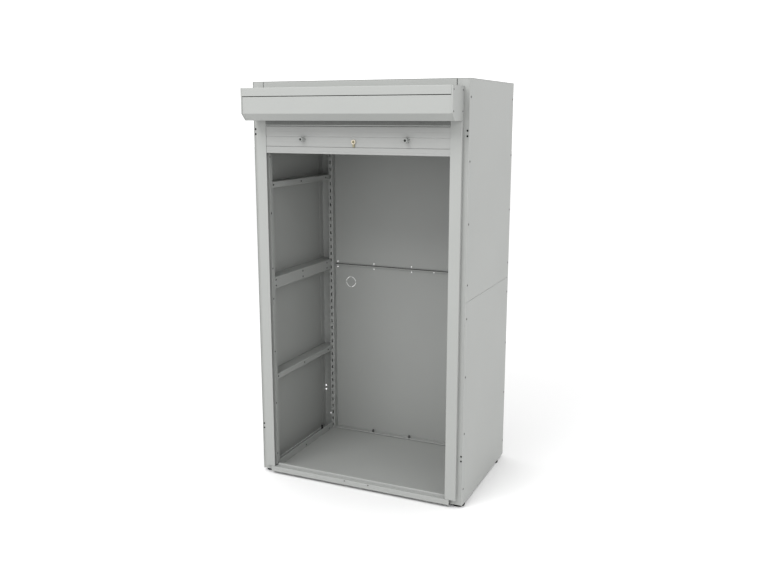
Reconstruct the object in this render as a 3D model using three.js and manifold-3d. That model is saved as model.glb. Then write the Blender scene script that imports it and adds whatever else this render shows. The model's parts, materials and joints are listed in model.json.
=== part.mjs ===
// Outdoor battery cabinet with a roller shutter, in millimetres, +Z up.
//
// Origin: on the floor, under the middle of the whole outline (feet, body and shutter box).
// Inside the body group the front flanges' face is y = 0, +Y runs into the cabinet, and z = 0 is the
// bottom edge of the sheet-metal body, so that the sizes below read as on a drawing.
// Left and right are as seen by a person who stands in front of the cabinet.

import * as THREE from "three";
import { mergeVertices } from "three/addons/utils/BufferGeometryUtils.js";
import Module from "manifold-3d";

const wasm = await Module();
wasm.setup();

// ---------------------------------------------------------------------------------------------
// Driving dimensions
// ---------------------------------------------------------------------------------------------

// Body
const bodyWidth = 1110;
const bodyDepth = 700;
const bodyHeight = 2000;
const footHeight = 14; // free height under the body
const frameSheet = 2; // posts, rails, floor and roof
const panelSheet = 1.5; // side and back panels
const touchGap = 0.3; // left between pieces that touch
const seamGap = 1; // between two panels in one plane

// Posts
const flangeWidth = 60; // front and rear flanges of the posts
const postLeg = 40; // leg behind the side panel
const stripInset = 10; // the front post's inner strip stands this far inside the flange
const stripDepth = 40; // depth of that strip
const hatDepth = 35; // the rear post's slotted hat stands this far off the back
const hatWidth = 25; // width of the slotted face
const stripClear = 2.5; // kept free in front of the slotted face, for a shelf's hooks
const slotWidth = 6;
const slotLength = 20;
const slotPitch = 40;
const firstSlot = 22; // centre of the lowest slot above the body's bottom edge
const flangeHoleRadius = 4.5;
const flangeHoleSpacing = 24; // upright distance in a pair of flange holes
const flangeHoleInset = 9.5; // from the body's side
const flangeHoleHeight = 238; // middle of the pair, from the bottom and from the top
const lowHoleInset = 19; // single hole low in the rear flange
const lowHoleHeight = 78;
const stripHoleRadius = 3.5;
const panelScrewEnd = 79; // first screw from a panel seam
const panelScrewPitch = 280;

// Rails
const sideRailHeight = 30;
const midRailHeight = 60;
const baseRailHeight = 40;
const sideRailLevel = 500; // distance of the side rails from the middle rail
const railHoleRadius = 3.5;
const railHoleEnd = 8; // first hole from a rail's front end
const railHolePitch = 279;
const railHolePair = 30; // upright distance of the two rows in the middle rail
const baseHoleLevel = 14; // holes in the base rail above the body's bottom edge

// Floor, sill and front rail
const trayUnderlap = 8; // the tray lies this far on the back panel's bottom flange
const sillHeight = 27.5;
const lipHeight = 40; // top of the front rail
const lipReturn = 14;
const railFootDepth = 40;
const lintelGap = 3; // between the lintel and each post flange

// Back panels
const backHolePitch = 230;
const backHoleRadius = 3.5;
const seamHoleOffset = 15; // holes above and below their middle line
const seamHoleDrop = 2.5; // their middle line lies this far under the seam
const seamFlange = 12; // panel edge folded into the cabinet at the seam and under the roof
const knockoutRadius = 29;
const knockoutSlit = 2;
const knockoutTab = 14; // degrees of metal left at each tab
const knockoutX = -374;
const knockoutBelowSeam = 102;
const oddHoleX = 136;
const oddHoleBelowSeam = 10;
const holeColumnShift = 2; // the hole columns stand this far off the middle

// Shutter guides and curtain
const guideWidth = 53.5;
const guideDepth = 22; // the guides stand this far in front of the flanges
const guideSheet = 1.5;
const guideOverlap = 21; // the guides' lips reach this far inside the post flanges
const guideFoot = 1.5; // free height between sill and guide
const runGap = 0.8; // curtain to guide
const slatPitch = 48.7;
const slatGroove = 1.2;
const leadThickness = 7.5;
const leadSlats = 3; // slats on the leading section
const bottomBarHeight = 32;
const hiddenThickness = 1.8;
const hiddenGap = 0.7; // between two hidden sections
const slatsPerSection = 5;
const sectionLap = 12;
const curtainDrop = 155; // how far the open curtain hangs below the shutter box
const curtainRest = 0.5; // above the sill when closed

// Shutter box
const boxSize = 150; // depth and height
const boxBelowRoof = 34;
const boxChamfer = 33;
const boxSheet = 1.5;
const boxStrip = 38; // height of the upper front strip
const boxStripLap = 8; // the lower cover tucks behind it this far
const endCap = 3;
const sealHeight = 26;
const sealThickness = 3.7;
const tubeAcross = 60; // octagonal roller tube, across flats
const tubeWall = 1.5;
const tubeBehindFront = 70; // tube axis, from the box's front
const tubeBelowTop = 74;
const shaftRadius = 6;
const springRadius = 18;
const springWire = 2.5;
const springTurns = 10;
const springStart = -300;
const springEnd = 60;

// Lock and stoppers
const lockAboveBar = 58; // lock axis above the curtain's bottom edge
const lockRadius = 8.5; // round part of the euro profile
const lockTail = 10; // width of its tail
const lockHeight = 33;
const lockProud = 5; // in front of the slats
const plugRadius = 6.5;
const keywayWidth = 1.8;
const keywayHeight = 9;
const keywayDepth = 8;
const lockBarHeight = 12;
const lockBarThickness = 2.9;
const lockBarInner = 12; // inner end of each bar, from the middle
const lockBarShort = 2; // the drawn-back bar ends this far inside the curtain's edge
const keeperHeight = 24;
const stopperX = 268;
const stopperAboveBar = 68;
const stopperRadius = 12;
const stopperLength = 30;
const stopperBore = 5;

// Feet
const footRadius = 30;
const footDisc = 10.5;
const stemRadius = 6;
const stemLength = 50;
const footFromSide = 30;
const frontFootY = 40;
const rearFootY = 600;
const footPlate = 5;

// ---------------------------------------------------------------------------------------------
// Sizes and places that follow from them
// ---------------------------------------------------------------------------------------------

const half = bodyWidth / 2;
const seamLevel = bodyHeight / 2;
const roofUnder = bodyHeight - frameSheet - touchGap;
const flangeInner = half - flangeWidth;
const legX = half - panelSheet - touchGap - frameSheet / 2;
const stripFace = flangeInner - stripInset;
const stripX = stripFace + frameSheet / 2;
const doorHalf = flangeInner - guideOverlap;
const boxHalf = doorHalf + guideWidth;

const boxTop = bodyHeight - boxBelowRoof;
const boxBottom = boxTop - boxSize;
const curtainOpen = boxBottom - curtainDrop;
const curtainClosed = sillHeight + curtainRest;
const leadHeight = bottomBarHeight + leadSlats * slatPitch;
const sectionStep = slatsPerSection * slatPitch;
const sectionHeight = sectionStep + sectionLap;
const sectionOpen = curtainOpen + 2;
const sectionCount = 1 + Math.ceil((sectionOpen + 3 - curtainClosed - leadHeight) / sectionStep);

const curtainHalf = flangeInner - 5;
const hiddenHalf = flangeInner - 7;
const leadFront = -guideDepth + guideSheet + runGap;
const leadBack = leadFront + leadThickness;
const hiddenStep = hiddenThickness + hiddenGap;
const hiddenFront = leadBack + hiddenGap;
const stackBack = hiddenFront + (sectionCount - 1) * hiddenStep + hiddenThickness;
const rearLegFace = stackBack + runGap;
const stepFace = rearLegFace + guideSheet + 1;
const stripEnd = stepFace + stripDepth;
const hatFace = bodyDepth - panelSheet - hatDepth;
const railStart = stripEnd + touchGap;
const railEnd = hatFace - stripClear;
const trayUnder = frameSheet + touchGap;
const trayTop = trayUnder + frameSheet;

const tubeY = -boxSize + tubeBehindFront;
const tubeZ = boxTop - tubeBelowTop;
const lockZ = curtainOpen + lockAboveBar;
const footX = half - footFromSide;

// ---------------------------------------------------------------------------------------------
// Materials
// ---------------------------------------------------------------------------------------------

const finish = (color, roughness, metalness) =>
  new THREE.MeshStandardMaterial({ color, roughness, metalness });
const paint = finish(0xc6c9c6, 0.5, 0.1);
const slatPaint = finish(0xc2c4c2, 0.45, 0.1);
const brass = finish(0xc9a45a, 0.35, 0.9);
const zinc = finish(0xb9bcbf, 0.4, 0.9);
const rubber = finish(0x1b1b1c, 0.85, 0);
const sealGrey = finish(0x6d6f6e, 0.8, 0);
const plastic = finish(0xb4b6b5, 0.5, 0);

// ---------------------------------------------------------------------------------------------
// Geometry helpers
// ---------------------------------------------------------------------------------------------

// The closed outline of a folded sheet whose middle line runs through the given points.
function folded(points, thickness) {
  const normals = [];
  for (let i = 0; i + 1 < points.length; i++) {
    const dx = points[i + 1][0] - points[i][0];
    const dy = points[i + 1][1] - points[i][1];
    const length = Math.hypot(dx, dy);
    normals.push([-dy / length, dx / length]);
  }
  const offset = (i, distance) => {
    const before = normals[Math.max(i - 1, 0)];
    const after = normals[Math.min(i, normals.length - 1)];
    const mitre = distance / (1 + before[0] * after[0] + before[1] * after[1]);
    return [
      points[i][0] + (before[0] + after[0]) * mitre,
      points[i][1] + (before[1] + after[1]) * mitre,
    ];
  };
  const outer = points.map((_, i) => offset(i, thickness / 2));
  const inner = points.map((_, i) => offset(i, -thickness / 2));
  return [...outer, ...inner.reverse()];
}

const rectangle = (x0, y0, x1, y1) => [[x0, y0], [x1, y0], [x1, y1], [x0, y1]];

const polygon = (sides, radius, x = 0, y = 0, turn = 0) =>
  Array.from({ length: sides }, (_, i) => {
    const angle = turn + (i / sides) * 2 * Math.PI;
    return [x + radius * Math.cos(angle), y + radius * Math.sin(angle)];
  });

const toShape = (outline) => new THREE.Shape(outline.map(([x, y]) => new THREE.Vector2(x, y)));

function prism(outline, length, holes = []) {
  const shape = toShape(outline);
  shape.holes = holes.map((hole) => toShape(hole));
  return new THREE.ExtrudeGeometry(shape, { depth: length, bevelEnabled: false, steps: 1 });
}

// Outlines in the plane across the axis: (x, y) along Z, (y, z) along X, (x, z) along Y.
const alongZ = (outline, z0, z1, holes) => prism(outline, z1 - z0, holes).translate(0, 0, z0);

const cyclic = new THREE.Matrix4().makeBasis(
  new THREE.Vector3(0, 1, 0),
  new THREE.Vector3(0, 0, 1),
  new THREE.Vector3(1, 0, 0),
);
const alongX = (outline, x0, x1, holes) =>
  prism(outline, x1 - x0, holes).applyMatrix4(cyclic).translate(x0, 0, 0);

const alongY = (outline, y0, y1, holes) =>
  prism(outline, y1 - y0, holes).rotateX(Math.PI / 2).translate(0, y1, 0);

const block = (low, high) =>
  new THREE.BoxGeometry(high[0] - low[0], high[1] - low[1], high[2] - low[2]).translate(
    (low[0] + high[0]) / 2,
    (low[1] + high[1]) / 2,
    (low[2] + high[2]) / 2,
  );

// A turned piece: profile points are [radius, distance along the axis], and the axis is +Y.
const turned = (profile, sides = 20) =>
  new THREE.LatheGeometry(profile.map(([r, y]) => new THREE.Vector2(r, y)), sides);

function toSolid(geometry) {
  const bare = new THREE.BufferGeometry();
  const plain = geometry.index ? geometry.toNonIndexed() : geometry;
  bare.setAttribute("position", plain.getAttribute("position").clone());
  const merged = mergeVertices(bare, 1e-3);
  return new wasm.Manifold(
    new wasm.Mesh({
      numProp: 3,
      vertProperties: merged.attributes.position.array,
      triVerts: new Uint32Array(merged.index.array),
    }),
  );
}

function toGeometry(solid) {
  const mesh = solid.getMesh();
  const result = new THREE.BufferGeometry();
  result.setAttribute("position", new THREE.BufferAttribute(mesh.vertProperties, 3));
  result.setIndex(new THREE.BufferAttribute(mesh.triVerts, 1));
  const faceted = result.toNonIndexed();
  faceted.computeVertexNormals();
  return faceted;
}

function cut(geometry, cutters) {
  let solid = toSolid(geometry);
  for (const cutter of cutters) solid = solid.subtract(toSolid(cutter));
  return toGeometry(solid);
}

// Drills for holes, long enough to pass one sheet.
const drillLength = 8;
const drillY = (x, y, z, radius) =>
  alongY(polygon(8, radius, x, z, Math.PI / 8), y - drillLength / 2, y + drillLength / 2);
const drillX = (x, y, z, radius) =>
  alongX(polygon(8, radius, y, z, Math.PI / 8), x - drillLength / 2, x + drillLength / 2);

// ---------------------------------------------------------------------------------------------
// Groups
// ---------------------------------------------------------------------------------------------

const cabinet = new THREE.Group();
cabinet.name = "battery_cabinet";
const body = new THREE.Group();
body.position.set(0, -(bodyDepth - boxSize) / 2, footHeight);
cabinet.add(body);

function add(name, geometry, material) {
  const mesh = new THREE.Mesh(geometry, material);
  mesh.name = name;
  body.add(mesh);
  return mesh;
}

// Each pair of sides is made by one loop; side is -1 on the left and +1 on the right.
const sides = [["left", -1], ["right", 1]];
const mirror = (points, side) => points.map(([x, y]) => [x * side, y]);

// Screw levels shared by the side panels and the front posts' strips.
const screwLevels = [];
for (let level = panelScrewEnd; level < seamLevel - sectionLap; level += panelScrewPitch)
  screwLevels.push(seamLevel - level, seamLevel + level);

// ---------------------------------------------------------------------------------------------
// Frame: posts and rails
// ---------------------------------------------------------------------------------------------

function flangeHoles(side, y) {
  const holes = [];
  for (const middle of [flangeHoleHeight, bodyHeight - flangeHoleHeight])
    for (const step of [-0.5, 0.5])
      holes.push(
        drillY(side * (half - flangeHoleInset), y, middle + step * flangeHoleSpacing, flangeHoleRadius),
      );
  return holes;
}

for (const [name, side] of sides) {
  const flangeX = flangeInner + frameSheet / 2;
  const front = folded(
    mirror(
      [
        [legX, postLeg],
        [legX, frameSheet / 2],
        [flangeX, frameSheet / 2],
        [flangeX, stepFace + frameSheet / 2],
        [stripX, stepFace + frameSheet / 2],
        [stripX, stripEnd - frameSheet / 2],
        [legX - stripInset, stripEnd - frameSheet / 2],
      ],
      side,
    ),
    frameSheet,
  );
  const stripHoles = screwLevels.map((z) =>
    drillX(side * stripX, stepFace + stripDepth / 2, z, stripHoleRadius),
  );
  add(
    "front_post_" + name,
    cut(alongZ(front, 0, roofUnder), [...flangeHoles(side, frameSheet / 2), ...stripHoles]),
    paint,
  );

  const hatInner = flangeInner - hatWidth;
  const rear = folded(
    mirror(
      [
        [legX, bodyDepth - postLeg],
        [legX, bodyDepth - frameSheet / 2],
        [flangeX, bodyDepth - frameSheet / 2],
        [flangeX, hatFace + frameSheet / 2],
        [hatInner + frameSheet / 2, hatFace + frameSheet / 2],
        [hatInner + frameSheet / 2, bodyDepth - panelSheet - touchGap],
      ],
      side,
    ),
    frameSheet,
  );
  const slots = [];
  const slotX = side * (hatInner + hatWidth / 2 + frameSheet / 2);
  for (let z = firstSlot; z < roofUnder - firstSlot; z += slotPitch)
    slots.push(
      block(
        [slotX - slotWidth / 2, hatFace - frameSheet, z - slotLength / 2],
        [slotX + slotWidth / 2, hatFace + 2 * frameSheet, z + slotLength / 2],
      ),
    );
  const lowHole = drillY(
    side * (flangeInner + lowHoleInset), bodyDepth - frameSheet / 2, lowHoleHeight, flangeHoleRadius,
  );
  add(
    "rear_post_" + name,
    cut(alongZ(rear, 0, roofUnder), [
      ...flangeHoles(side, bodyDepth - frameSheet / 2),
      lowHole,
      ...slots,
    ]),
    paint,
  );
}

// A rail between the posts: its web faces the inside and its flanges reach out to the side panel.
function sideRail(side, low, high, hasTopFlange) {
  const bottom = low + frameSheet / 2;
  const top = high - frameSheet / 2;
  const outer = legX - frameSheet / 2 - touchGap;
  const line = [[stripX, bottom], [outer, bottom]];
  if (hasTopFlange) line.unshift([outer, top], [stripX, top]);
  else line.unshift([stripX, high]);
  const channel = alongY(folded(mirror(line, side), frameSheet), railStart, railEnd);
  // Behind the web's end a tongue of each flange goes on to the rear post's flange.
  const tongueX = [flangeInner + frameSheet + touchGap, outer].map((x) => x * side);
  let solid = toSolid(channel);
  for (const level of hasTopFlange ? [bottom, top] : [bottom]) {
    const from = [Math.min(...tongueX), railEnd - 1, level - frameSheet / 2];
    const to = [Math.max(...tongueX), bodyDepth - frameSheet - touchGap, level + frameSheet / 2];
    solid = solid.add(toSolid(block(from, to)));
  }
  return toGeometry(solid);
}

const railHoles = (side, level) => {
  const holes = [];
  for (let y = railStart + railHoleEnd; y < railEnd - railHoleEnd; y += railHolePitch)
    holes.push(drillX(side * stripX, y, level, railHoleRadius));
  return holes;
};

const rails = [
  ["side_rail_low_", seamLevel - sideRailLevel, sideRailHeight, [0]],
  ["side_rail_mid_", seamLevel, midRailHeight, [-railHolePair / 2, railHolePair / 2]],
  ["side_rail_top_", seamLevel + sideRailLevel, sideRailHeight, [0]],
];
for (const [name, side] of sides) {
  for (const [prefix, level, height, rows] of rails) {
    const rail = sideRail(side, level - height / 2, level + height / 2, true);
    add(prefix + name, cut(rail, rows.flatMap((row) => railHoles(side, level + row))), paint);
  }
  const stemHole = alongZ(
    polygon(20, stemRadius + touchGap, side * footX, rearFootY), -frameSheet, 3 * frameSheet,
  );
  const baseRail = sideRail(side, 0, baseRailHeight, false);
  add("base_rail_" + name, cut(baseRail, [stemHole, ...railHoles(side, baseHoleLevel)]), paint);
}

// One folded sheet: it closes the back of the shutter box, then steps forward above the box.
const lintelStep = boxTop + touchGap + boxSheet / 2;
const lintelTop = roofUnder - boxSheet / 2;
add(
  "front_lintel",
  alongX(
    folded(
      [
        [rearLegFace + boxSheet / 2, boxBottom],
        [rearLegFace + boxSheet / 2, lintelStep],
        [boxSheet / 2, lintelStep],
        [boxSheet / 2, lintelTop],
        [stepFace - touchGap, lintelTop],
      ],
      boxSheet,
    ),
    -flangeInner + lintelGap,
    flangeInner - lintelGap,
  ),
  paint,
);

const railFoot = frameSheet / 2;
add(
  "front_rail",
  alongX(
    folded(
      [
        [railFootDepth, railFoot],
        [frameSheet / 2, railFoot],
        [frameSheet / 2, lipHeight - frameSheet / 2],
        [lipReturn, lipHeight - frameSheet / 2],
        [lipReturn, lipHeight - lipReturn],
      ],
      frameSheet,
    ),
    -doorHalf + 8,
    doorHalf - 8,
  ),
  paint,
);

add(
  "sill_bar",
  alongX(
    folded(
      [
        [-touchGap, sillHeight - guideSheet / 2],
        [-guideDepth + guideSheet / 2, sillHeight - guideSheet / 2],
        [-guideDepth + guideSheet / 2, guideSheet / 2],
        [-touchGap, guideSheet / 2],
      ],
      guideSheet,
    ),
    -flangeInner,
    flangeInner,
  ),
  paint,
);

// ---------------------------------------------------------------------------------------------
// Panels
// ---------------------------------------------------------------------------------------------

add(
  "roof_panel",
  block([-half, 0, bodyHeight - frameSheet], [half, bodyDepth, bodyHeight]),
  paint,
);

// The tray lies on the front rail's foot and on the back panel's bottom flange.
const trayHalf = stripFace - touchGap;
add(
  "floor_tray",
  block(
    [-trayHalf, lipReturn + frameSheet / 2 + touchGap, trayUnder],
    [trayHalf, railEnd, trayTop],
  ),
  paint,
);

for (const [name, side] of sides) {
  const inner = side * (half - panelSheet);
  const outer = side * half;
  const across = [Math.min(inner, outer), Math.max(inner, outer)];
  for (const [level, z0, z1] of [
    ["lower", 0, seamLevel - seamGap / 2],
    ["upper", seamLevel + seamGap / 2, roofUnder],
  ])
    add(
      "side_panel_" + level + "_" + name,
      block([across[0], 0, z0], [across[1], bodyDepth, z1]),
      paint,
    );
}

// A ring slit, with tabs that still hold the knock-out disc.
function ringSlits(x, z) {
  const slits = [];
  const tabs = 4;
  const steps = 6;
  for (let tab = 0; tab < tabs; tab++) {
    const from = THREE.MathUtils.degToRad(tab * 90 + knockoutTab / 2);
    const to = THREE.MathUtils.degToRad((tab + 1) * 90 - knockoutTab / 2);
    const arc = (radius, i) => {
      const angle = from + ((to - from) * i) / steps;
      return [x + radius * Math.cos(angle), z + radius * Math.sin(angle)];
    };
    const outer = [];
    const inner = [];
    for (let i = 0; i <= steps; i++) {
      outer.push(arc(knockoutRadius + knockoutSlit / 2, i));
      inner.unshift(arc(knockoutRadius - knockoutSlit / 2, i));
    }
    slits.push([...outer, ...inner]);
  }
  return slits;
}

// A back panel stands in the XZ plane, and its level edges fold into the cabinet. Each flange is
// [its lower face, its depth].
function backPanel(z0, z1, flanges, holes) {
  const width = flangeInner - seamGap / 2;
  const reach = flangeInner - hatWidth - seamGap;
  const inside = bodyDepth - panelSheet;
  let solid = toSolid(alongY(rectangle(-width, z0, width, z1), inside, bodyDepth, holes));
  for (const [z, depth] of flanges) {
    const low = [-reach, inside - depth, z];
    const high = [reach, inside + panelSheet / 2, z + panelSheet];
    solid = solid.add(toSolid(block(low, high)));
  }
  return toGeometry(solid);
}

const holeColumns = [-2, -1, 0, 1, 2].map((i) => i * backHolePitch + holeColumnShift);
const roundHole = (x, z) => polygon(8, backHoleRadius, x, z, Math.PI / 8);
const seamLow = seamLevel - seamGap / 2;
const seamHigh = seamLevel + seamGap / 2;
const lowerFlanges = [
  [frameSheet - panelSheet, hatDepth + stripClear + trayUnderlap],
  [seamLow - panelSheet, seamFlange],
];
const upperFlanges = [
  [seamHigh, seamFlange],
  [roofUnder - panelSheet, seamFlange],
];
add(
  "back_panel_lower",
  backPanel(0, seamLow, lowerFlanges, [
    ...holeColumns.map((x) => roundHole(x, seamLevel - seamHoleDrop - seamHoleOffset)),
    roundHole(oddHoleX, seamLevel - oddHoleBelowSeam),
    ...ringSlits(knockoutX, seamLevel - knockoutBelowSeam),
  ]),
  paint,
);
add(
  "back_panel_upper",
  backPanel(seamHigh, roofUnder, upperFlanges, [
    ...holeColumns.map((x) => roundHole(x, seamLevel - seamHoleDrop + seamHoleOffset)),
  ]),
  paint,
);

// ---------------------------------------------------------------------------------------------
// Shutter: guides, curtain and lock
// ---------------------------------------------------------------------------------------------

for (const [name, side] of sides) {
  const guide = folded(
    mirror(
      [
        [doorHalf, -guideDepth + guideSheet / 2],
        [boxHalf - guideSheet / 2, -guideDepth + guideSheet / 2],
        [boxHalf - guideSheet / 2, -touchGap - guideSheet / 2],
        [flangeInner - touchGap - guideSheet / 2, -touchGap - guideSheet / 2],
        [flangeInner - touchGap - guideSheet / 2, rearLegFace + guideSheet / 2],
        [doorHalf, rearLegFace + guideSheet / 2],
      ],
      side,
    ),
    guideSheet,
  );
  add("guide_rail_" + name, alongZ(guide, sillHeight + guideFoot, boxBottom - touchGap), paint);

  const keeperLevel = curtainClosed + lockAboveBar;
  const keeperX = [curtainHalf + 1.5, boxHalf - guideSheet - touchGap].map((x) => x * side);
  const barBack = leadBack - touchGap;
  const keeper = block(
    [Math.min(...keeperX), leadFront, keeperLevel - keeperHeight / 2],
    [Math.max(...keeperX), -2 * touchGap - guideSheet, keeperLevel + keeperHeight / 2],
  );
  const pocket = block(
    [-boxHalf, barBack - lockBarThickness - 1, keeperLevel - lockBarHeight / 2 - 1],
    [boxHalf, barBack + 1, keeperLevel + lockBarHeight / 2 + 1],
  );
  add("keeper_" + name, cut(keeper, [pocket]), zinc);
}

// The cross-section of a run of slats: a flat plate with a groove in its face at each joint.
function slatOutline(front, thickness, bottom, top, joints, groove) {
  const points = [[front + thickness, top], [front + thickness, bottom], [front, bottom]];
  for (const joint of joints) {
    points.push([front, joint - groove], [front + groove, joint], [front, joint + groove]);
  }
  points.push([front, top]);
  return points;
}

const slatsFrom = curtainOpen + bottomBarHeight + touchGap / 2;
const leadTop = curtainOpen + leadHeight;
const leadJoints = [];
for (let i = 1; i < leadSlats; i++) leadJoints.push(curtainOpen + bottomBarHeight + i * slatPitch);

const tailBottom = lockZ + lockRadius - lockHeight;
function lockProfile(clearance) {
  const radius = lockRadius + clearance;
  const reach = lockTail / 2 + clearance;
  const start = Math.asin(reach / radius) - Math.PI / 2;
  const steps = 16;
  const points = [];
  for (let i = 0; i <= steps; i++) {
    const angle = start + ((Math.PI - 2 * start) * i) / steps;
    points.push([radius * Math.cos(angle), lockZ + radius * Math.sin(angle)]);
  }
  points.push([-reach, tailBottom - clearance], [reach, tailBottom - clearance]);
  return points;
}

const barLevel = [lockZ - lockBarHeight / 2, lockZ + lockBarHeight / 2];
const barFront = leadBack - touchGap - lockBarThickness;
const groove = block(
  [-curtainHalf - 1, barFront - touchGap, barLevel[0] - touchGap],
  [curtainHalf + 1, leadBack + 1, barLevel[1] + touchGap],
);
add(
  "front_slats",
  cut(
    alongX(
      slatOutline(leadFront, leadThickness, slatsFrom, leadTop, leadJoints, slatGroove),
      -curtainHalf,
      curtainHalf,
    ),
    [groove, alongY(lockProfile(touchGap), leadFront - 1, leadBack + 1)],
  ),
  slatPaint,
);

const barTop = curtainOpen + bottomBarHeight - touchGap / 2;
add(
  "bottom_bar",
  alongX(
    [
      [leadFront + 1, curtainOpen],
      [leadBack - 1, curtainOpen],
      [leadBack, curtainOpen + 1],
      [leadBack, barTop],
      [leadFront, barTop],
      [leadFront, curtainOpen + 1],
    ],
    -curtainHalf,
    curtainHalf,
  ),
  slatPaint,
);

// Hidden sections, one behind another; the last one stays up and the others follow the front one.
for (let i = 0; i < sectionCount; i++) {
  const front = hiddenFront + i * hiddenStep;
  const joints = [];
  for (let j = 0; j < slatsPerSection; j++) joints.push(sectionOpen + sectionLap + j * slatPitch);
  const name = i + 1 < sectionCount ? "curtain_section_" + (i + 1) : "curtain_top_section";
  add(
    name,
    alongX(
      slatOutline(
        front, hiddenThickness, sectionOpen, sectionOpen + sectionHeight, joints, slatGroove / 2,
      ),
      -hiddenHalf,
      hiddenHalf,
    ),
    slatPaint,
  );
}

const lockFront = leadFront - lockProud;
const lockBack = leadBack - touchGap;
add(
  "lock_body",
  alongY(lockProfile(0), lockFront, lockBack, [polygon(20, plugRadius + touchGap, 0, lockZ)]),
  brass,
);
add(
  "lock_plug",
  cut(alongY(polygon(20, plugRadius, 0, lockZ), lockFront - touchGap, lockBack), [
    block(
      [-keywayWidth / 2, lockFront - 1, lockZ - keywayHeight / 2],
      [keywayWidth / 2, lockFront + keywayDepth, lockZ + keywayHeight / 2],
    ),
  ]),
  brass,
);
for (const [name, side] of sides) {
  const ends = [lockBarInner, curtainHalf - lockBarShort].map((x) => x * side);
  add(
    "lock_bar_" + name,
    block(
      [Math.min(...ends), barFront, barLevel[0]],
      [Math.max(...ends), leadBack - touchGap, barLevel[1]],
    ),
    zinc,
  );

  const stopper = turned([
    [0, 0],
    [stopperRadius, 0],
    [stopperRadius, 3],
    [stopperRadius - 0.8, 4],
    [stopperRadius - 1.4, stopperLength - 1.2],
    [stopperRadius - 2.6, stopperLength],
    [stopperBore, stopperLength],
    [stopperBore, 8],
    [0, 8],
  ]);
  const mesh = add("stopper_" + name, stopper, plastic);
  mesh.rotation.x = Math.PI;
  mesh.position.set(side * stopperX, leadFront - touchGap, curtainOpen + stopperAboveBar);
}

// ---------------------------------------------------------------------------------------------
// Shutter box and roller
// ---------------------------------------------------------------------------------------------

const boxInner = boxHalf - endCap - touchGap;
const boxFront = -boxSize + boxSheet / 2;
const coverFront = boxFront + boxSheet + touchGap;
add(
  "box_top_cover",
  alongX(
    folded(
      [
        [-2 * touchGap, boxTop - boxSheet / 2],
        [boxFront, boxTop - boxSheet / 2],
        [boxFront, boxTop - boxStrip],
      ],
      boxSheet,
    ),
    -boxInner,
    boxInner,
  ),
  paint,
);
const outletFront = -guideDepth - 3;
add(
  "box_front_cover",
  alongX(
    folded(
      [
        [coverFront, boxTop - boxStrip + boxStripLap],
        [coverFront, boxBottom + boxChamfer - 1],
        [coverFront + boxChamfer - 1, boxBottom + boxSheet / 2],
        [outletFront, boxBottom + boxSheet / 2],
        [outletFront, boxBottom + 14],
      ],
      boxSheet,
    ),
    -boxInner,
    boxInner,
  ),
  paint,
);
const sealFront = leadFront - 0.6 - sealThickness;
add(
  "outlet_seal",
  alongX(
    [
      [sealFront, boxBottom - touchGap],
      [sealFront + sealThickness, boxBottom - touchGap],
      [sealFront + sealThickness, boxBottom - sealHeight],
      [sealFront + 1.5, boxBottom - sealHeight],
      [sealFront, boxBottom - sealHeight + 3],
    ],
    -doorHalf + 0.8,
    doorHalf - 0.8,
  ),
  sealGrey,
);
const capOutline = [
  [-touchGap, boxTop],
  [-boxSize, boxTop],
  [-boxSize, boxBottom + boxChamfer],
  [-boxSize + boxChamfer, boxBottom],
  [-touchGap, boxBottom],
];
for (const [name, side] of sides) {
  const x = side > 0 ? boxHalf - endCap : -boxHalf;
  add("box_end_" + name, alongX(capOutline, x, x + endCap), paint);
}

const eighth = Math.PI / 8;
const acrossCorners = (flats) => flats / 2 / Math.cos(eighth);
const tubeHalf = boxInner - 20;
const octagon = (flats) => polygon(8, acrossCorners(flats), tubeY, tubeZ, eighth);
add(
  "roller_tube",
  alongX(octagon(tubeAcross), -tubeHalf, tubeHalf, [octagon(tubeAcross - 2 * tubeWall)]),
  zinc,
);
const plugHole = polygon(16, shaftRadius + touchGap, tubeY, tubeZ);
const plugLength = 20;
for (const [name, side] of sides) {
  const x = side > 0 ? tubeHalf - plugLength : -tubeHalf;
  const outline = octagon(tubeAcross - 2 * tubeWall - 2 * touchGap);
  add("tube_plug_" + name, alongX(outline, x, x + plugLength, [plugHole]), plastic);
}
add(
  "spring_shaft",
  alongX(polygon(16, shaftRadius, tubeY, tubeZ), -boxInner, boxInner),
  zinc,
);

class SpringLine extends THREE.Curve {
  getPoint(t, target = new THREE.Vector3()) {
    const angle = t * springTurns * 2 * Math.PI;
    return target.set(
      springStart + (springEnd - springStart) * t,
      tubeY + springRadius * Math.cos(angle),
      tubeZ + springRadius * Math.sin(angle),
    );
  }
}
add(
  "balance_spring",
  new THREE.ExtrudeGeometry(toShape(polygon(6, springWire)), {
    extrudePath: new SpringLine(),
    steps: springTurns * 12,
    bevelEnabled: false,
  }),
  zinc,
);

// ---------------------------------------------------------------------------------------------
// Feet
// ---------------------------------------------------------------------------------------------

for (const [name, side] of sides) {
  for (const [end, y] of [["front", frontFootY], ["rear", rearFootY]]) {
    const foot = turned([
      [0, 0],
      [footRadius - 4, 0],
      [footRadius - 1, 1.2],
      [footRadius, 3.5],
      [footRadius - 1, footDisc - 1.5],
      [footRadius - 4, footDisc],
      [stemRadius + 5, footDisc + 0.5],
      [stemRadius + 4, footHeight - 1],
      [stemRadius, footHeight - 1],
      [stemRadius, stemLength],
      [0, stemLength],
    ]);
    const mesh = add("foot_" + end + "_" + name, foot, rubber);
    mesh.rotation.x = Math.PI / 2;
    mesh.position.set(side * footX, y, -footHeight);
  }
  const plateX = [flangeInner + frameSheet + touchGap, legX - frameSheet / 2 - touchGap];
  const plate = alongZ(
    rectangle(
      side * plateX[0], frameSheet + touchGap, side * plateX[1], stripEnd - frameSheet - touchGap,
    ),
    frameSheet,
    frameSheet + footPlate,
    [polygon(20, stemRadius + touchGap, side * footX, frontFootY)],
  );
  add("foot_plate_" + name, plate, zinc);
}

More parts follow.
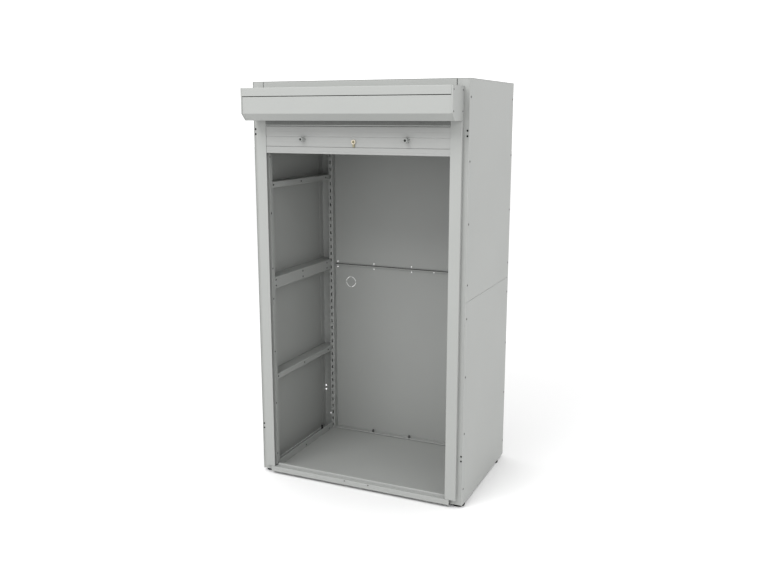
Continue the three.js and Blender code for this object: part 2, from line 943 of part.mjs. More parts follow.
export default cabinet;
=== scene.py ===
# %% [markdown]
# # A battery cabinet with a roller shutter
# The real object is a tall sheet-metal cabinet that batteries are pushed into from the front. Folded posts
# and rails carry thin panels, and a shutter slides down from a box over the door. The frame below holds the
# working parts at their true sizes. This script gives each one its folds, holes, screws and finish.

# %% Load the frame
import json
import math

import bmesh
import bpy
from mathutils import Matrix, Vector

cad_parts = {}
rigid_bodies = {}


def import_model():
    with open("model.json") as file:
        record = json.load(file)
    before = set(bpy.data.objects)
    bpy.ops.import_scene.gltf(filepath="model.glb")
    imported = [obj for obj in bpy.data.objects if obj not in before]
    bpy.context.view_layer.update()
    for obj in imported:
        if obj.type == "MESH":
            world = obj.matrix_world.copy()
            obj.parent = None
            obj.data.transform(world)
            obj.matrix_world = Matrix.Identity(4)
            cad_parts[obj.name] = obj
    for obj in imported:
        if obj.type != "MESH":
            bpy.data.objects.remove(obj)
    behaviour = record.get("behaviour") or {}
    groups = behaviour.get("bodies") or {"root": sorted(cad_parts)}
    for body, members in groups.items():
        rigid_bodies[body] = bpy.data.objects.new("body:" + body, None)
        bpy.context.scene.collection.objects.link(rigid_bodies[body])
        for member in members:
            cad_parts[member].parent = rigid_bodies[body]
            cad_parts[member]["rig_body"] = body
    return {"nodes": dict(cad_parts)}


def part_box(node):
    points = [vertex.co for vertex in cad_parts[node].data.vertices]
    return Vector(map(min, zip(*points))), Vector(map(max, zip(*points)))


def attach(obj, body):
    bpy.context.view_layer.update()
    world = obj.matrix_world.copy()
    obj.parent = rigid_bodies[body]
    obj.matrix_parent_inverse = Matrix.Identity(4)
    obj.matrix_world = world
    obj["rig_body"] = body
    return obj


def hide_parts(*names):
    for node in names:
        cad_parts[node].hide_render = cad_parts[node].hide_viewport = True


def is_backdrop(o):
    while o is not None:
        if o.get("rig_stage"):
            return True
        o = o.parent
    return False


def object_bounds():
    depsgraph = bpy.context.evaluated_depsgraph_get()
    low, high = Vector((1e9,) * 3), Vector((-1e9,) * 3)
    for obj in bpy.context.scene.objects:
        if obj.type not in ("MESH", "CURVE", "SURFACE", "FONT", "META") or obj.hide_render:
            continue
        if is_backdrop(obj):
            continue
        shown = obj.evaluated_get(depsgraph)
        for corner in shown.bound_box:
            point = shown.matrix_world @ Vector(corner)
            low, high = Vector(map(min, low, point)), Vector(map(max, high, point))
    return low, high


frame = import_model()
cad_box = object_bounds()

# %% [markdown]
# ## Camera
# The cabinet is seen from a little above its middle and from one front corner, so that the open front and
# one side show together. A longer lens from further away keeps the uprights almost parallel. The camera
# could aim at a target through a constraint, but two plain angles are easier to read.

# %% Place the camera
CAMERA_PLACE = (1.7223, -3.8270, 1.8505)
CAMERA_DOWN = 11.572  # degrees below the horizon
CAMERA_TURN = 24.0525  # degrees to the left of the cabinet's depth
camera_data = bpy.data.cameras.new("camera")
camera_data.sensor_width = 36
camera_data.lens = 39.26
camera = bpy.data.objects.new("camera", camera_data)
camera.location = CAMERA_PLACE
camera.rotation_euler = (math.radians(90 - CAMERA_DOWN), 0, math.radians(CAMERA_TURN))
bpy.context.scene.collection.objects.link(camera)
bpy.context.scene.camera = camera
print("camera stands", round(camera.location.length, 2), "m from the cabinet's foot")

# %% [markdown]
# ## Drawing coordinates
# A sheet-metal drawing is in millimetres from one corner of the body. Here x is across, y runs in from the
# face of the front flanges, and z runs up from the body's bottom edge. Working in the frame's metres would
# do as well, but the sizes would no longer read like a drawing. The origin comes from the frame's nodes.

# %% Drawing coordinates
MM = 0.001
ORIGIN = Vector((0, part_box("roof_panel")[0].y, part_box("side_panel_lower_left")[0].z))


def drawing_box(node):
    """Lowest and highest corner of a node in drawing millimetres."""
    return [(corner - ORIGIN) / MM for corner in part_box(node)]


def to_frame(point):
    """A drawing point in the frame's metres."""
    return ORIGIN + Vector(point) * MM


ROOF = drawing_box("roof_panel")
SILL = drawing_box("sill_bar")
BODY_HALF = ROOF[1].x
BODY_DEPTH = ROOF[1].y
BODY_TOP = ROOF[1].z
FLANGE_INNER = SILL[1].x
SEAM = BODY_TOP / 2
print("body", 2 * BODY_HALF, "x", BODY_DEPTH, "x", BODY_TOP, "mm")

# %% [markdown]
# ## A folded sheet
# Posts, rails and covers are strips of steel bent in a press brake, so a section is a line with round bends
# and one thickness. A boxy extrusion with sharp corners would look like card. The helper first rounds the
# corners of the middle line, then steps half a thickness to each side of it.

# %% Outlines
ARC_STEP = math.radians(20)


def round_corners(points, radius):
    """The points of a line, with each inner corner replaced by an arc."""
    result = [Vector(points[0])]
    for before, corner, after in zip(points, points[1:], points[2:]):
        before, corner, after = Vector(before), Vector(corner), Vector(after)
        inward = (corner - before).normalized()
        outward = (after - corner).normalized()
        turn = inward.angle_signed(outward)
        reach = radius * math.tan(abs(turn) / 2)
        steps = max(2, math.ceil(abs(turn) / ARC_STEP))
        start = corner - inward * reach
        side = Vector((-inward.y, inward.x)) * (-math.copysign(1, turn))
        centre = start + side * radius
        for i in range(steps + 1):
            angle = -turn * i / steps
            spoke = start - centre
            turned = (
                spoke.x * math.cos(angle) - spoke.y * math.sin(angle),
                spoke.x * math.sin(angle) + spoke.y * math.cos(angle),
            )
            result.append(centre + Vector(turned))
    result.append(Vector(points[-1]))
    return result


def folded(points, thickness, radius=2.4):
    """The closed outline of a sheet whose middle line runs through the points."""
    line = round_corners(points, radius)
    normals = []
    for start, end in zip(line, line[1:]):
        along = (end - start).normalized()
        normals.append(Vector((-along.y, along.x)))
    left, right = [], []
    for i, point in enumerate(line):
        before = normals[max(i - 1, 0)]
        after = normals[min(i, len(normals) - 1)]
        step = (before + after) * (thickness / 2 / (1 + before.dot(after)))
        left.append(point + step)
        right.append(point - step)
    return left + right[::-1]


def circle(x, y, radius, sides=24):
    """A round outline."""
    angles = [2 * math.pi * i / sides for i in range(sides)]
    return [(x + radius * math.cos(a), y + radius * math.sin(a)) for a in angles]


def upright_slot(x, y, width, length, steps=6):
    """A slot with round ends, longest along the second axis."""
    radius = width / 2
    reach = length / 2 - radius
    outline = []
    for end, base in ((reach, 0), (-reach, math.pi)):
        for i in range(steps + 1):
            angle = base + math.pi * i / steps
            outline.append((x + radius * math.cos(angle), y + end + radius * math.sin(angle)))
    return outline


def rectangle(x0, y0, x1, y1):
    """A rectangular outline."""
    return [(x0, y0), (x1, y0), (x1, y1), (x0, y1)]


def mirrored(points, side):
    """Outline points for the left (-1) or right (+1) side."""
    return [(point[0] * side, point[1]) for point in points]


print("one right-angle bend has", math.ceil(math.radians(90) / ARC_STEP) + 1, "points on its middle line")

# %% [markdown]
# ## From outline to piece
# A rolled or folded profile has one section along its whole length, so an outline swept along an axis gives
# it exactly. Holes are punched after folding. They could be left out of the outline's faces by hand, but a
# boolean with all the punches in one cutter is shorter and leaves clean round walls.

# %% Sweeping and punching
AXES = {"X": (1, 2, 0), "Y": (0, 2, 1), "Z": (0, 1, 2)}


def prism_mesh(name, outlines, axis, start, end):
    """A mesh of one closed prism for each outline. Outlines lie in (y, z), (x, z) or (x, y)."""
    first, second, along = AXES[axis]
    shape = bmesh.new()
    for outline in outlines:
        rings = []
        for level in (start, end):
            ring = []
            for point in outline:
                place = [0.0, 0.0, 0.0]
                place[first], place[second], place[along] = point[0], point[1], level
                ring.append(shape.verts.new(to_frame(place)))
            rings.append(ring)
        shape.faces.new(rings[0])
        shape.faces.new(rings[1][::-1])
        count = len(outline)
        for i in range(count):
            j = (i + 1) % count
            shape.faces.new((rings[0][j], rings[0][i], rings[1][i], rings[1][j]))
    bmesh.ops.recalc_face_normals(shape, faces=shape.faces)
    mesh = bpy.data.meshes.new(name)
    shape.to_mesh(mesh)
    shape.free()
    return mesh


def link(name, mesh):
    """A new object in the scene."""
    piece = bpy.data.objects.new(name, mesh)
    bpy.context.scene.collection.objects.link(piece)
    return piece


def sweep(name, outline, axis, start, end):
    """One profile as an object."""
    return link(name, prism_mesh(name, [outline], axis, start, end))


def bake(piece):
    """Applies the piece's modifiers."""
    bpy.context.view_layer.update()
    evaluated = piece.evaluated_get(bpy.context.evaluated_depsgraph_get())
    baked = bpy.data.meshes.new_from_object(evaluated)
    piece.modifiers.clear()
    old = piece.data
    piece.data = baked
    bpy.data.meshes.remove(old)
    return piece


def combine(piece, mesh, operation):
    """Joins a mesh to the piece, or cuts it out of the piece."""
    tool = link("cutter", mesh)
    modifier = piece.modifiers.new("combine", "BOOLEAN")
    modifier.operation = operation
    modifier.solver = "EXACT"
    modifier.object = tool
    bake(piece)
    bpy.data.objects.remove(tool)
    bpy.data.meshes.remove(mesh)
    return piece


def punch(piece, outlines, axis, start, end):
    """Punches holes of these outlines through the piece."""
    return combine(piece, prism_mesh("punches", outlines, axis, start, end), "DIFFERENCE")


def soften(piece, width=0.35, segments=2, angle=40):
    """Breaks the sharp edges and keeps the broad faces flat in shading."""
    bevel = piece.modifiers.new("edge", "BEVEL")
    bevel.width = width * MM
    bevel.segments = segments
    bevel.limit_method = "ANGLE"
    bevel.angle_limit = math.radians(angle)
    bake(piece)
    for face in piece.data.polygons:
        face.use_smooth = True
    weighted = piece.modifiers.new("normals", "WEIGHTED_NORMAL")
    weighted.keep_sharp = False
    weighted.weight = 100
    return bake(piece)


# %% [markdown]
# ## Turned and round pieces
# Screws, stoppers and feet are turned or moulded about an axis. A lathe profile spun in steps gives them,
# and it also allows a recess or a rim, which a cylinder with a bevel would not.

# %% Turning
def turned_mesh(name, profile, place, direction, sides=32):
    """Spins (radius, distance) points about a line through place. The profile starts and ends on it."""
    axis = Vector(direction).normalized()
    across = axis.orthogonal().normalized()
    other = axis.cross(across)
    shape = bmesh.new()
    rings = []
    for radius, distance in profile:
        centre = Vector(place) + axis * distance
        if radius < 1e-6:
            rings.append([shape.verts.new(to_frame(centre))])
            continue
        ring = []
        for i in range(sides):
            angle = 2 * math.pi * i / sides
            spoke = across * math.cos(angle) + other * math.sin(angle)
            ring.append(shape.verts.new(to_frame(centre + spoke * radius)))
        rings.append(ring)
    for low, high in zip(rings, rings[1:]):
        for i in range(sides):
            j = (i + 1) % sides
            corners = [low[i % len(low)], low[j % len(low)], high[j % len(high)], high[i % len(high)]]
            unique = list(dict.fromkeys(corners))
            if len(unique) > 2:
                shape.faces.new(unique)
    bmesh.ops.recalc_face_normals(shape, faces=shape.faces)
    mesh = bpy.data.meshes.new(name)
    shape.to_mesh(mesh)
    shape.free()
    return mesh


def merge(name, meshes):
    """Several meshes as one object of separate solids."""
    shape = bmesh.new()
    for mesh in meshes:
        shape.from_mesh(mesh)
        bpy.data.meshes.remove(mesh)
    joined = bpy.data.meshes.new(name)
    shape.to_mesh(joined)
    shape.free()
    return link(name, joined)


def smooth(piece, angle=35):
    """Smooth shading that keeps edges above this angle sharp."""
    for face in piece.data.polygons:
        face.use_smooth = True
    piece.data.set_sharp_from_angle(angle=math.radians(angle))
    return piece


def flush_heads(name, places, direction, radius, height=0.9):
    """Screw heads with a small drive recess, each from its place outwards along the direction."""
    profile = [(0, 0), (radius, 0), (radius, height * 0.7), (radius - 0.6, height)]
    profile += [(1.5, height), (1.2, height * 0.5), (0, height * 0.4)]
    return smooth(merge(name, [turned_mesh("head", profile, place, direction, 20) for place in places]))


# %% [markdown]
# ## Powder coat
# The cabinet is light grey powder coat: a baked plastic film with a satin gloss and a fine orange-peel
# surface. One flat grey would look like paper. Two noises a long way apart in size give the coat its peel
# and a very slight drift in tone, and the same peel changes the roughness a little.

# %% Material helpers
def new_material(name):
    """An empty node material with one shader; returns the material, its nodes, links and shader."""
    material = bpy.data.materials.new(name)
    material.use_nodes = True
    tree = material.node_tree
    shader = tree.nodes["Principled BSDF"]
    return material, tree.nodes, tree.links, shader


def noise(nodes, links, place, scale, detail=2.0, stretch=None):
    """A noise over the object's own coordinates, in cells per metre."""
    texture = nodes.new("ShaderNodeTexNoise")
    texture.inputs["Scale"].default_value = scale
    texture.inputs["Detail"].default_value = detail
    source = place.outputs["Object"]
    if stretch:
        mapping = nodes.new("ShaderNodeMapping")
        mapping.inputs["Scale"].default_value = stretch
        links.new(source, mapping.inputs["Vector"])
        source = mapping.outputs["Vector"]
    links.new(source, texture.inputs["Vector"])
    return texture


def ramp(nodes, links, source, low, high, start=0.3, end=0.7):
    """Turns a 0 to 1 value into a colour between two colours."""
    node = nodes.new("ShaderNodeValToRGB")
    node.color_ramp.elements[0].position = start
    node.color_ramp.elements[1].position = end
    node.color_ramp.elements[0].color = (*low, 1)
    node.color_ramp.elements[1].color = (*high, 1)
    links.new(source, node.inputs["Fac"])
    return node


def spread(nodes, links, source, low, high):
    """Maps a 0 to 1 value to a range."""
    node = nodes.new("ShaderNodeMapRange")
    node.inputs["To Min"].default_value = low
    node.inputs["To Max"].default_value = high
    links.new(source, node.inputs["Value"])
    return node


def bump(nodes, links, source, shader, strength, distance):
    """A bump of this depth in metres."""
    node = nodes.new("ShaderNodeBump")
    node.inputs["Strength"].default_value = strength
    node.inputs["Distance"].default_value = distance
    links.new(source, node.inputs["Height"])
    links.new(node.outputs["Normal"], shader.inputs["Normal"])
    return node


def coated(name, colour, roughness, peel=700.0, drift=0.02):
    """Powder coat in a colour given as linear red, green and blue."""
    material, nodes, links, shader = new_material(name)
    place = nodes.new("ShaderNodeTexCoord")
    broad = noise(nodes, links, place, 2.2, 3.0)
    low = [c * (1 - drift) for c in colour]
    high = [c * (1 + drift) for c in colour]
    tone = ramp(nodes, links, broad.outputs["Fac"], low, high)
    links.new(tone.outputs["Color"], shader.inputs["Base Color"])
    fine = noise(nodes, links, place, peel, 2.0)
    gloss = spread(nodes, links, fine.outputs["Fac"], roughness - 0.06, roughness + 0.06)
    links.new(gloss.outputs["Result"], shader.inputs["Roughness"])
    bump(nodes, links, fine.outputs["Fac"], shader, 0.25, 0.00006)
    shader.inputs["Specular IOR Level"].default_value = 0.42
    return material


PAINT = coated("powder_coat", (0.316, 0.324, 0.314), 0.46)
SLAT_PAINT = coated("slat_coat", (0.312, 0.317, 0.310), 0.42, peel=1100.0, drift=0.012)
print("coats:", PAINT.name, SLAT_PAINT.name)

# %% [markdown]
# ## Metals, rubber and plastic
# The lock is brass in two tones: the case and plug are a darker brass that paints the shade on the lock, and
# the collar is a polished brass, painted lighter for its lit face. The hidden fittings are zinc plated. Zinc
# shows a faint spangle, so its tone comes from small cells. The screws are blackened steel, which is so matt
# that it is made like plastic and not like a metal. The same near-black heads sit in the rail, strip and
# drain holes, where they paint the shade inside the holes. The black foot plastic also makes the seam strip
# and the seal's lip, where it paints a shadow line. The seal is a brush, so its noise is drawn out into
# bristles.

# %% Metal, rubber and plastic materials
def metal(name, low, high, roughness, cells=None, scale=600.0):
    """A metal whose tone and roughness follow a noise, or cells for a plated spangle."""
    material, nodes, links, shader = new_material(name)
    place = nodes.new("ShaderNodeTexCoord")
    fine = noise(nodes, links, place, scale, 3.0)
    source = fine.outputs["Fac"]
    if cells:
        spangle = nodes.new("ShaderNodeTexVoronoi")
        spangle.inputs["Scale"].default_value = cells
        links.new(place.outputs["Object"], spangle.inputs["Vector"])
        source = spangle.outputs["Color"]
    tone = ramp(nodes, links, source, low, high)
    links.new(tone.outputs["Color"], shader.inputs["Base Color"])
    gloss = spread(nodes, links, fine.outputs["Fac"], roughness - 0.08, roughness + 0.1)
    links.new(gloss.outputs["Result"], shader.inputs["Roughness"])
    bump(nodes, links, fine.outputs["Fac"], shader, 0.2, 0.00003)
    shader.inputs["Metallic"].default_value = 1.0
    return material


def soft(name, low, high, roughness, scale, stretch=None, depth=0.0001, specular=0.5):
    """Rubber, plastic or brush: a matt surface with a grain."""
    material, nodes, links, shader = new_material(name)
    place = nodes.new("ShaderNodeTexCoord")
    grain = noise(nodes, links, place, scale, 3.0, stretch)
    tone = ramp(nodes, links, grain.outputs["Fac"], low, high)
    links.new(tone.outputs["Color"], shader.inputs["Base Color"])
    gloss = spread(nodes, links, grain.outputs["Fac"], roughness - 0.08, roughness + 0.08)
    links.new(gloss.outputs["Result"], shader.inputs["Roughness"])
    bump(nodes, links, grain.outputs["Fac"], shader, 0.3, depth)
    shader.inputs["Specular IOR Level"].default_value = specular
    return material


# Two tones of one brass: the darker paints the shade on the lock's case and plug, the lighter paints the
# collar's lit face.
SHADED_LOCK_BRASS = metal("lock_brass_painted_shade", (0.26, 0.24, 0.16), (0.36, 0.33, 0.22), 0.38)
LIT_COLLAR_BRASS = metal("polished_collar_painted_light", (0.74, 0.66, 0.52), (0.86, 0.79, 0.66), 0.28)
ZINC = metal("zinc_plate", (0.46, 0.48, 0.50), (0.62, 0.64, 0.66), 0.36, cells=260.0)
BLACK_LOW, BLACK_HIGH = (0.003, 0.003, 0.003), (0.007, 0.007, 0.007)
# Near-black screw steel: real screw heads, and painted shade where the heads fill rail, strip and drain
# holes.
SCREW_AND_SHADE_LOW, SCREW_AND_SHADE_HIGH = (0.008, 0.008, 0.008), (0.02, 0.02, 0.02)
SCREW_STEEL_AND_SHADE = soft("blackened_steel_and_painted_shade", SCREW_AND_SHADE_LOW, SCREW_AND_SHADE_HIGH, 0.6, 900.0, specular=0.15)
BOLT_STEEL = metal("bolt_steel", (0.16, 0.16, 0.16), (0.26, 0.26, 0.26), 0.5, scale=700.0)
# Black foot plastic: real feet and plugs, and painted shadow lines in the back seam and under the seal's
# bead.
BLACK_PLASTIC_AND_SHADE = soft("black_foot_plastic", BLACK_LOW, BLACK_HIGH, 0.75, 500.0, specular=0.15)
BRUSH = soft("seal_brush", (0.10, 0.105, 0.10), (0.17, 0.175, 0.17), 0.8, 500.0, (4, 1, 0.12), 0.0004)
BEAD = soft("seal_bead", (0.31, 0.32, 0.31), (0.37, 0.38, 0.37), 0.6, 300.0)
STOPPER_PLASTIC = soft("stopper_plastic", (0.26, 0.27, 0.26), (0.31, 0.32, 0.31), 0.5, 400.0)
print("materials:", len(bpy.data.materials))

# %% [markdown]
# ## Giving a piece its body, node and finish
# Each new piece stands for one or more nodes of the frame and must move with the same body. Doing the three
# steps in one helper means that none is forgotten.

# %% Dressing a piece
def dress(piece, material, body="cabinet", stands_for=()):
    """Sets the finish and the body, and hides the nodes that the piece stands for."""
    piece.data.materials.clear()
    piece.data.materials.append(material)
    if stands_for:
        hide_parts(*stands_for)
    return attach(piece, body)


def paint_sheet(piece, *nodes, width=0.3, segments=2):
    """Breaks the edges of a painted sheet that stands for these nodes of the cabinet."""
    return dress(soften(piece, width, segments), PAINT, stands_for=nodes)


def black_screws(name, places, direction, radius=5.2, height=0.9):
    """Blackened screw heads on the cabinet; in the rail, strip and drain holes their near-black paints the
    shade inside the hole.
    """
    return dress(flush_heads(name, places, direction, radius, height), SCREW_STEEL_AND_SHADE)


SIDES = (("left", -1), ("right", 1))
print("sides:", [name for name, side in SIDES])

# %% [markdown]
# ## Posts
# The corner posts are the cabinet's backbone. A front post wraps from behind the side panel, across the
# front flange that is seen from outside, and back to a strip that the side rails are screwed to. A rear
# post ends in a hat with a row of slots for shelf hooks. Each is one folded strip, so each is one section.

# %% Post sizes
FRAME_SHEET = 2.0
POST_BEND = 1.4  # tight, so that plates and rails fit into the corners
PANEL_SHEET = 1.5
POST_LEG = 40.0
STRIP_DEPTH = 40.0
HAT_WIDTH = 25.0
SLOT_WIDTH, SLOT_LENGTH, SLOT_PITCH, FIRST_SLOT = 7.0, 20.0, 40.0, 22.0
FLANGE_HOLE = 5.0
FLANGE_HOLE_INSET = 9.5
FLANGE_HOLE_LEVEL = 238.0
FLANGE_HOLE_SPACING = 24.0
LOW_HOLE_INSET, LOW_HOLE_LEVEL = 19.0, 78.0  # one more hole, at the foot of a rear flange
SCREW_END, SCREW_PITCH = 79.0, 280.0
STRIP_HOLE = 5.4

FRONT_POST = drawing_box("front_post_right")
REAR_POST = drawing_box("rear_post_right")
LEG_X = FRONT_POST[1].x - FRAME_SHEET / 2
STRIP_X = FRONT_POST[0].x + FRAME_SHEET / 2
STRIP_END = FRONT_POST[1].y
STEP_Y = STRIP_END - STRIP_DEPTH + FRAME_SHEET / 2
FLANGE_X = FLANGE_INNER + FRAME_SHEET / 2
HAT_X = REAR_POST[0].x + FRAME_SHEET / 2
HAT_FACE = BODY_DEPTH - PANEL_SHEET - 35.0
POST_TOP = FRONT_POST[1].z
screw_levels = []
for k in range(4):
    distance = SCREW_END + k * SCREW_PITCH
    screw_levels += [SEAM - distance, SEAM + distance]
screw_levels = sorted(level for level in screw_levels if 0 < level < POST_TOP)
flange_holes = []
for middle in (FLANGE_HOLE_LEVEL, BODY_TOP - FLANGE_HOLE_LEVEL):
    for step in (-0.5, 0.5):
        flange_holes.append(middle + step * FLANGE_HOLE_SPACING)
print("screw levels", screw_levels, "flange holes", flange_holes)

# %% Front posts
front_line = [
    (LEG_X, POST_LEG),
    (LEG_X, FRAME_SHEET / 2),
    (FLANGE_X, FRAME_SHEET / 2),
    (FLANGE_X, STEP_Y),
    (STRIP_X, STEP_Y),
    (STRIP_X, STRIP_END - FRAME_SHEET / 2),
    (LEG_X - 10, STRIP_END - FRAME_SHEET / 2),
]
for name, side in SIDES:
    section = folded(mirrored(front_line, side), FRAME_SHEET, POST_BEND)
    post = sweep("front_post_sheet_" + name, section, "Z", 0, POST_TOP)
    hole_x = side * (BODY_HALF - FLANGE_HOLE_INSET)
    holes = [circle(hole_x, level, FLANGE_HOLE) for level in flange_holes]
    punch(post, holes, "Y", -3, 6)
    places = [(hole_x, 1.5, level) for level in flange_holes]
    dress(flush_heads("flange_plugs_" + name, places, (0, -1, 0), FLANGE_HOLE - 0.4), BLACK_PLASTIC_AND_SHADE)
    strip_y = STEP_Y - FRAME_SHEET / 2 + STRIP_DEPTH / 2
    strip_holes = [circle(strip_y, level, STRIP_HOLE) for level in screw_levels]
    ends = sorted((side * (STRIP_X - 4), side * (STRIP_X + 4)))
    punch(post, strip_holes, "X", *ends)
    paint_sheet(post, "front_post_" + name, width=0.35)
    # Near-black screw heads fill the strip holes; their black paints the shade inside the holes.
    places = [(side * (STRIP_X + 0.4), strip_y, level) for level in screw_levels]
    black_screws("strip_screws_" + name, places, (-side, 0, 0))
print("front posts:", len(flange_holes), "flange holes and", len(screw_levels), "strip holes each")

# %% Rear posts
rear_line = [
    (LEG_X, BODY_DEPTH - POST_LEG),
    (LEG_X, BODY_DEPTH - FRAME_SHEET / 2),
    (FLANGE_X, BODY_DEPTH - FRAME_SHEET / 2),
    (FLANGE_X, HAT_FACE + FRAME_SHEET / 2),
    (HAT_X, HAT_FACE + FRAME_SHEET / 2),
    (HAT_X, REAR_POST[1].y - PANEL_SHEET - 0.3),
]
slot_levels = []
level = FIRST_SLOT
while level < POST_TOP - FIRST_SLOT:
    slot_levels.append(level)
    level += SLOT_PITCH
for name, side in SIDES:
    section = folded(mirrored(rear_line, side), FRAME_SHEET, POST_BEND)
    post = sweep("rear_post_sheet_" + name, section, "Z", 0, POST_TOP)
    hole_x = side * (BODY_HALF - FLANGE_HOLE_INSET)
    holes = [circle(hole_x, level, FLANGE_HOLE) for level in flange_holes]
    holes.append(circle(side * (FLANGE_INNER + LOW_HOLE_INSET), LOW_HOLE_LEVEL, FLANGE_HOLE))
    punch(post, holes, "Y", BODY_DEPTH - 6, BODY_DEPTH + 3)
    slot_x = side * (HAT_X + HAT_WIDTH / 2)
    slots = [upright_slot(slot_x, level, SLOT_WIDTH, SLOT_LENGTH) for level in slot_levels]
    punch(post, slots, "Y", HAT_FACE - 3, HAT_FACE + 5)
    paint_sheet(post, "rear_post_" + name)
print("rear posts:", len(slot_levels), "slots each, every", SLOT_PITCH, "mm")

# %% [markdown]
# ## Rails
# Channels between the posts stiffen the sides and give cable ties and trays something to hold. The base
# rail has no top flange, so water runs off it. A channel could be three boxes, but then its bends would be
# missing, so it is folded like the posts and its web is cut short in front of the slotted face.

# %% Side and base rails
RAIL_HOLE, STEM_HOLE = 5.4, 6.8
RAIL_HOLE_END, RAIL_HOLE_PITCH = 8.0, 279.0
RAIL_ROWS = {
    "side_rail_low_": (0,),
    "side_rail_mid_": (-15, 15),
    "side_rail_top_": (0,),
    "base_rail_": (-6,),
}


def rail(node, side, rows, has_top):
    """A rail built over its node's box."""
    low, high = drawing_box(node)
    inner = STRIP_X
    outer = max(abs(low.x), abs(high.x))
    bottom = low.z + FRAME_SHEET / 2
    top = high.z - FRAME_SHEET / 2
    line = [(outer, top), (inner, top), (inner, bottom), (outer, bottom)]
    if not has_top:
        line = [(inner, high.z), (inner, bottom), (outer, bottom)]
    piece = sweep(node + "_sheet", folded(mirrored(line, side), FRAME_SHEET), "Y", low.y, high.y)
    web = sorted((side * (inner - 4), side * (FLANGE_INNER + FRAME_SHEET + 0.3)))
    web_end = HAT_FACE - 2.5
    notch = rectangle(web[0], low.z - 5, web[1], high.z + 5)
    punch(piece, [notch], "Y", web_end, high.y + 5)
    places = []
    y = low.y + RAIL_HOLE_END
    while y < web_end - RAIL_HOLE_END:
        places += [(y, (low.z + high.z) / 2 + row) for row in rows]
        y += RAIL_HOLE_PITCH
    holes = [circle(y, z, RAIL_HOLE) for y, z in places]
    punch(piece, holes, "X", *sorted((side * (inner - 4), side * (inner + 4))))
    # Near-black heads fill the rail holes; their black paints the shade inside the holes.
    black_screws(node + "_screws", [(side * (inner + 0.4), y, z) for y, z in places], (-side, 0, 0))
    return soften(piece)


for name, side in SIDES:
    for prefix, rows in RAIL_ROWS.items():
        piece = rail(prefix + name, side, rows, prefix != "base_rail_")
        if prefix == "base_rail_":
            foot = drawing_box("foot_rear_" + name)
            stem_hole = circle((foot[0].x + foot[1].x) / 2, (foot[0].y + foot[1].y) / 2, STEM_HOLE)
            punch(piece, [stem_hole], "Z", -5, 8)
        dress(piece, PAINT, stands_for=[prefix + name])
print("rails:", 2 * len(RAIL_ROWS), "with webs at", round(STRIP_X, 1), "mm from the middle")

# %% [markdown]
# ## Front rail, sill and lintel
# Below the door a folded rail joins the posts and turns back in a lip, so that the edge is stiff and not
# sharp. The shutter comes down on a sill in front of it. Above the door a stepped sheet closes the shutter
# box at the back. All three are sections along x.

# %% Front rail, sill and lintel
front_rail = drawing_box("front_rail")
lip_top = front_rail[1].z - FRAME_SHEET / 2
LIP_RETURN = 14.0
rail_line = [
    (front_rail[1].y, FRAME_SHEET / 2),
    (FRAME_SHEET / 2, FRAME_SHEET / 2),
    (FRAME_SHEET / 2, lip_top),
    (LIP_RETURN, lip_top),
    (LIP_RETURN, front_rail[1].z - LIP_RETURN),
]
piece = sweep("front_rail_sheet", folded(rail_line, FRAME_SHEET), "X", front_rail[0].x, front_rail[1].x)
paint_sheet(piece, "front_rail", width=0.35)

GUIDE_SHEET = 1.5
sill_line = [
    (SILL[1].y, SILL[1].z - GUIDE_SHEET / 2),
    (SILL[0].y + GUIDE_SHEET / 2, SILL[1].z - GUIDE_SHEET / 2),
    (SILL[0].y + GUIDE_SHEET / 2, SILL[0].z + GUIDE_SHEET / 2),
    (SILL[1].y, SILL[0].z + GUIDE_SHEET / 2),
]
piece = sweep("sill_sheet", folded(sill_line, GUIDE_SHEET, 1.8), "X", SILL[0].x, SILL[1].x)
DRAIN_X, DRAIN_RADIUS = 66.0, 3.6
drain_z = SILL[1].z - 5.5
drains = [circle(x, drain_z, DRAIN_RADIUS) for x in (-DRAIN_X, DRAIN_X)]
punch(piece, drains, "Y", SILL[0].y - 2, SILL[0].y + 4)
paint_sheet(piece, "sill_bar")
# Near-black discs inside the drain holes paint the shade of the hollow sill behind them.
places = [(x, SILL[0].y + 1.4, drain_z) for x in (-DRAIN_X, DRAIN_X)]
black_screws("sill_drain_shade", places, (0, -1, 0), 3.3)

lintel = drawing_box("front_lintel")
BOX_TOP = drawing_box("box_end_left")[1].z
BOX_BOTTOM = drawing_box("box_end_left")[0].z
rear_y = drawing_box("guide_rail_left")[1].y - GUIDE_SHEET / 2
lintel_line = [
    (rear_y, lintel[0].z),
    (rear_y, BOX_TOP + 0.3 + GUIDE_SHEET / 2),
    (GUIDE_SHEET / 2, BOX_TOP + 0.3 + GUIDE_SHEET / 2),
    (GUIDE_SHEET / 2, lintel[1].z - GUIDE_SHEET / 2),
    (lintel[1].y, lintel[1].z - GUIDE_SHEET / 2),
]
piece = sweep("lintel_sheet", folded(lintel_line, GUIDE_SHEET, 1.8), "X", lintel[0].x, lintel[1].x)
paint_sheet(piece, "front_lintel")
print("front rail lip", LIP_RETURN, "mm, sill", round(SILL[1].z, 1), "mm high")

# %% [markdown]
# ## Panels
# Flat sheets close the sides, the back, the roof and the floor. Their fixing screws sit flush, so each
# screw place is a round hole with the head inside it. A painted dot would vanish in a low light, and a
# head that stood proud would not fit the cabinet's outline.

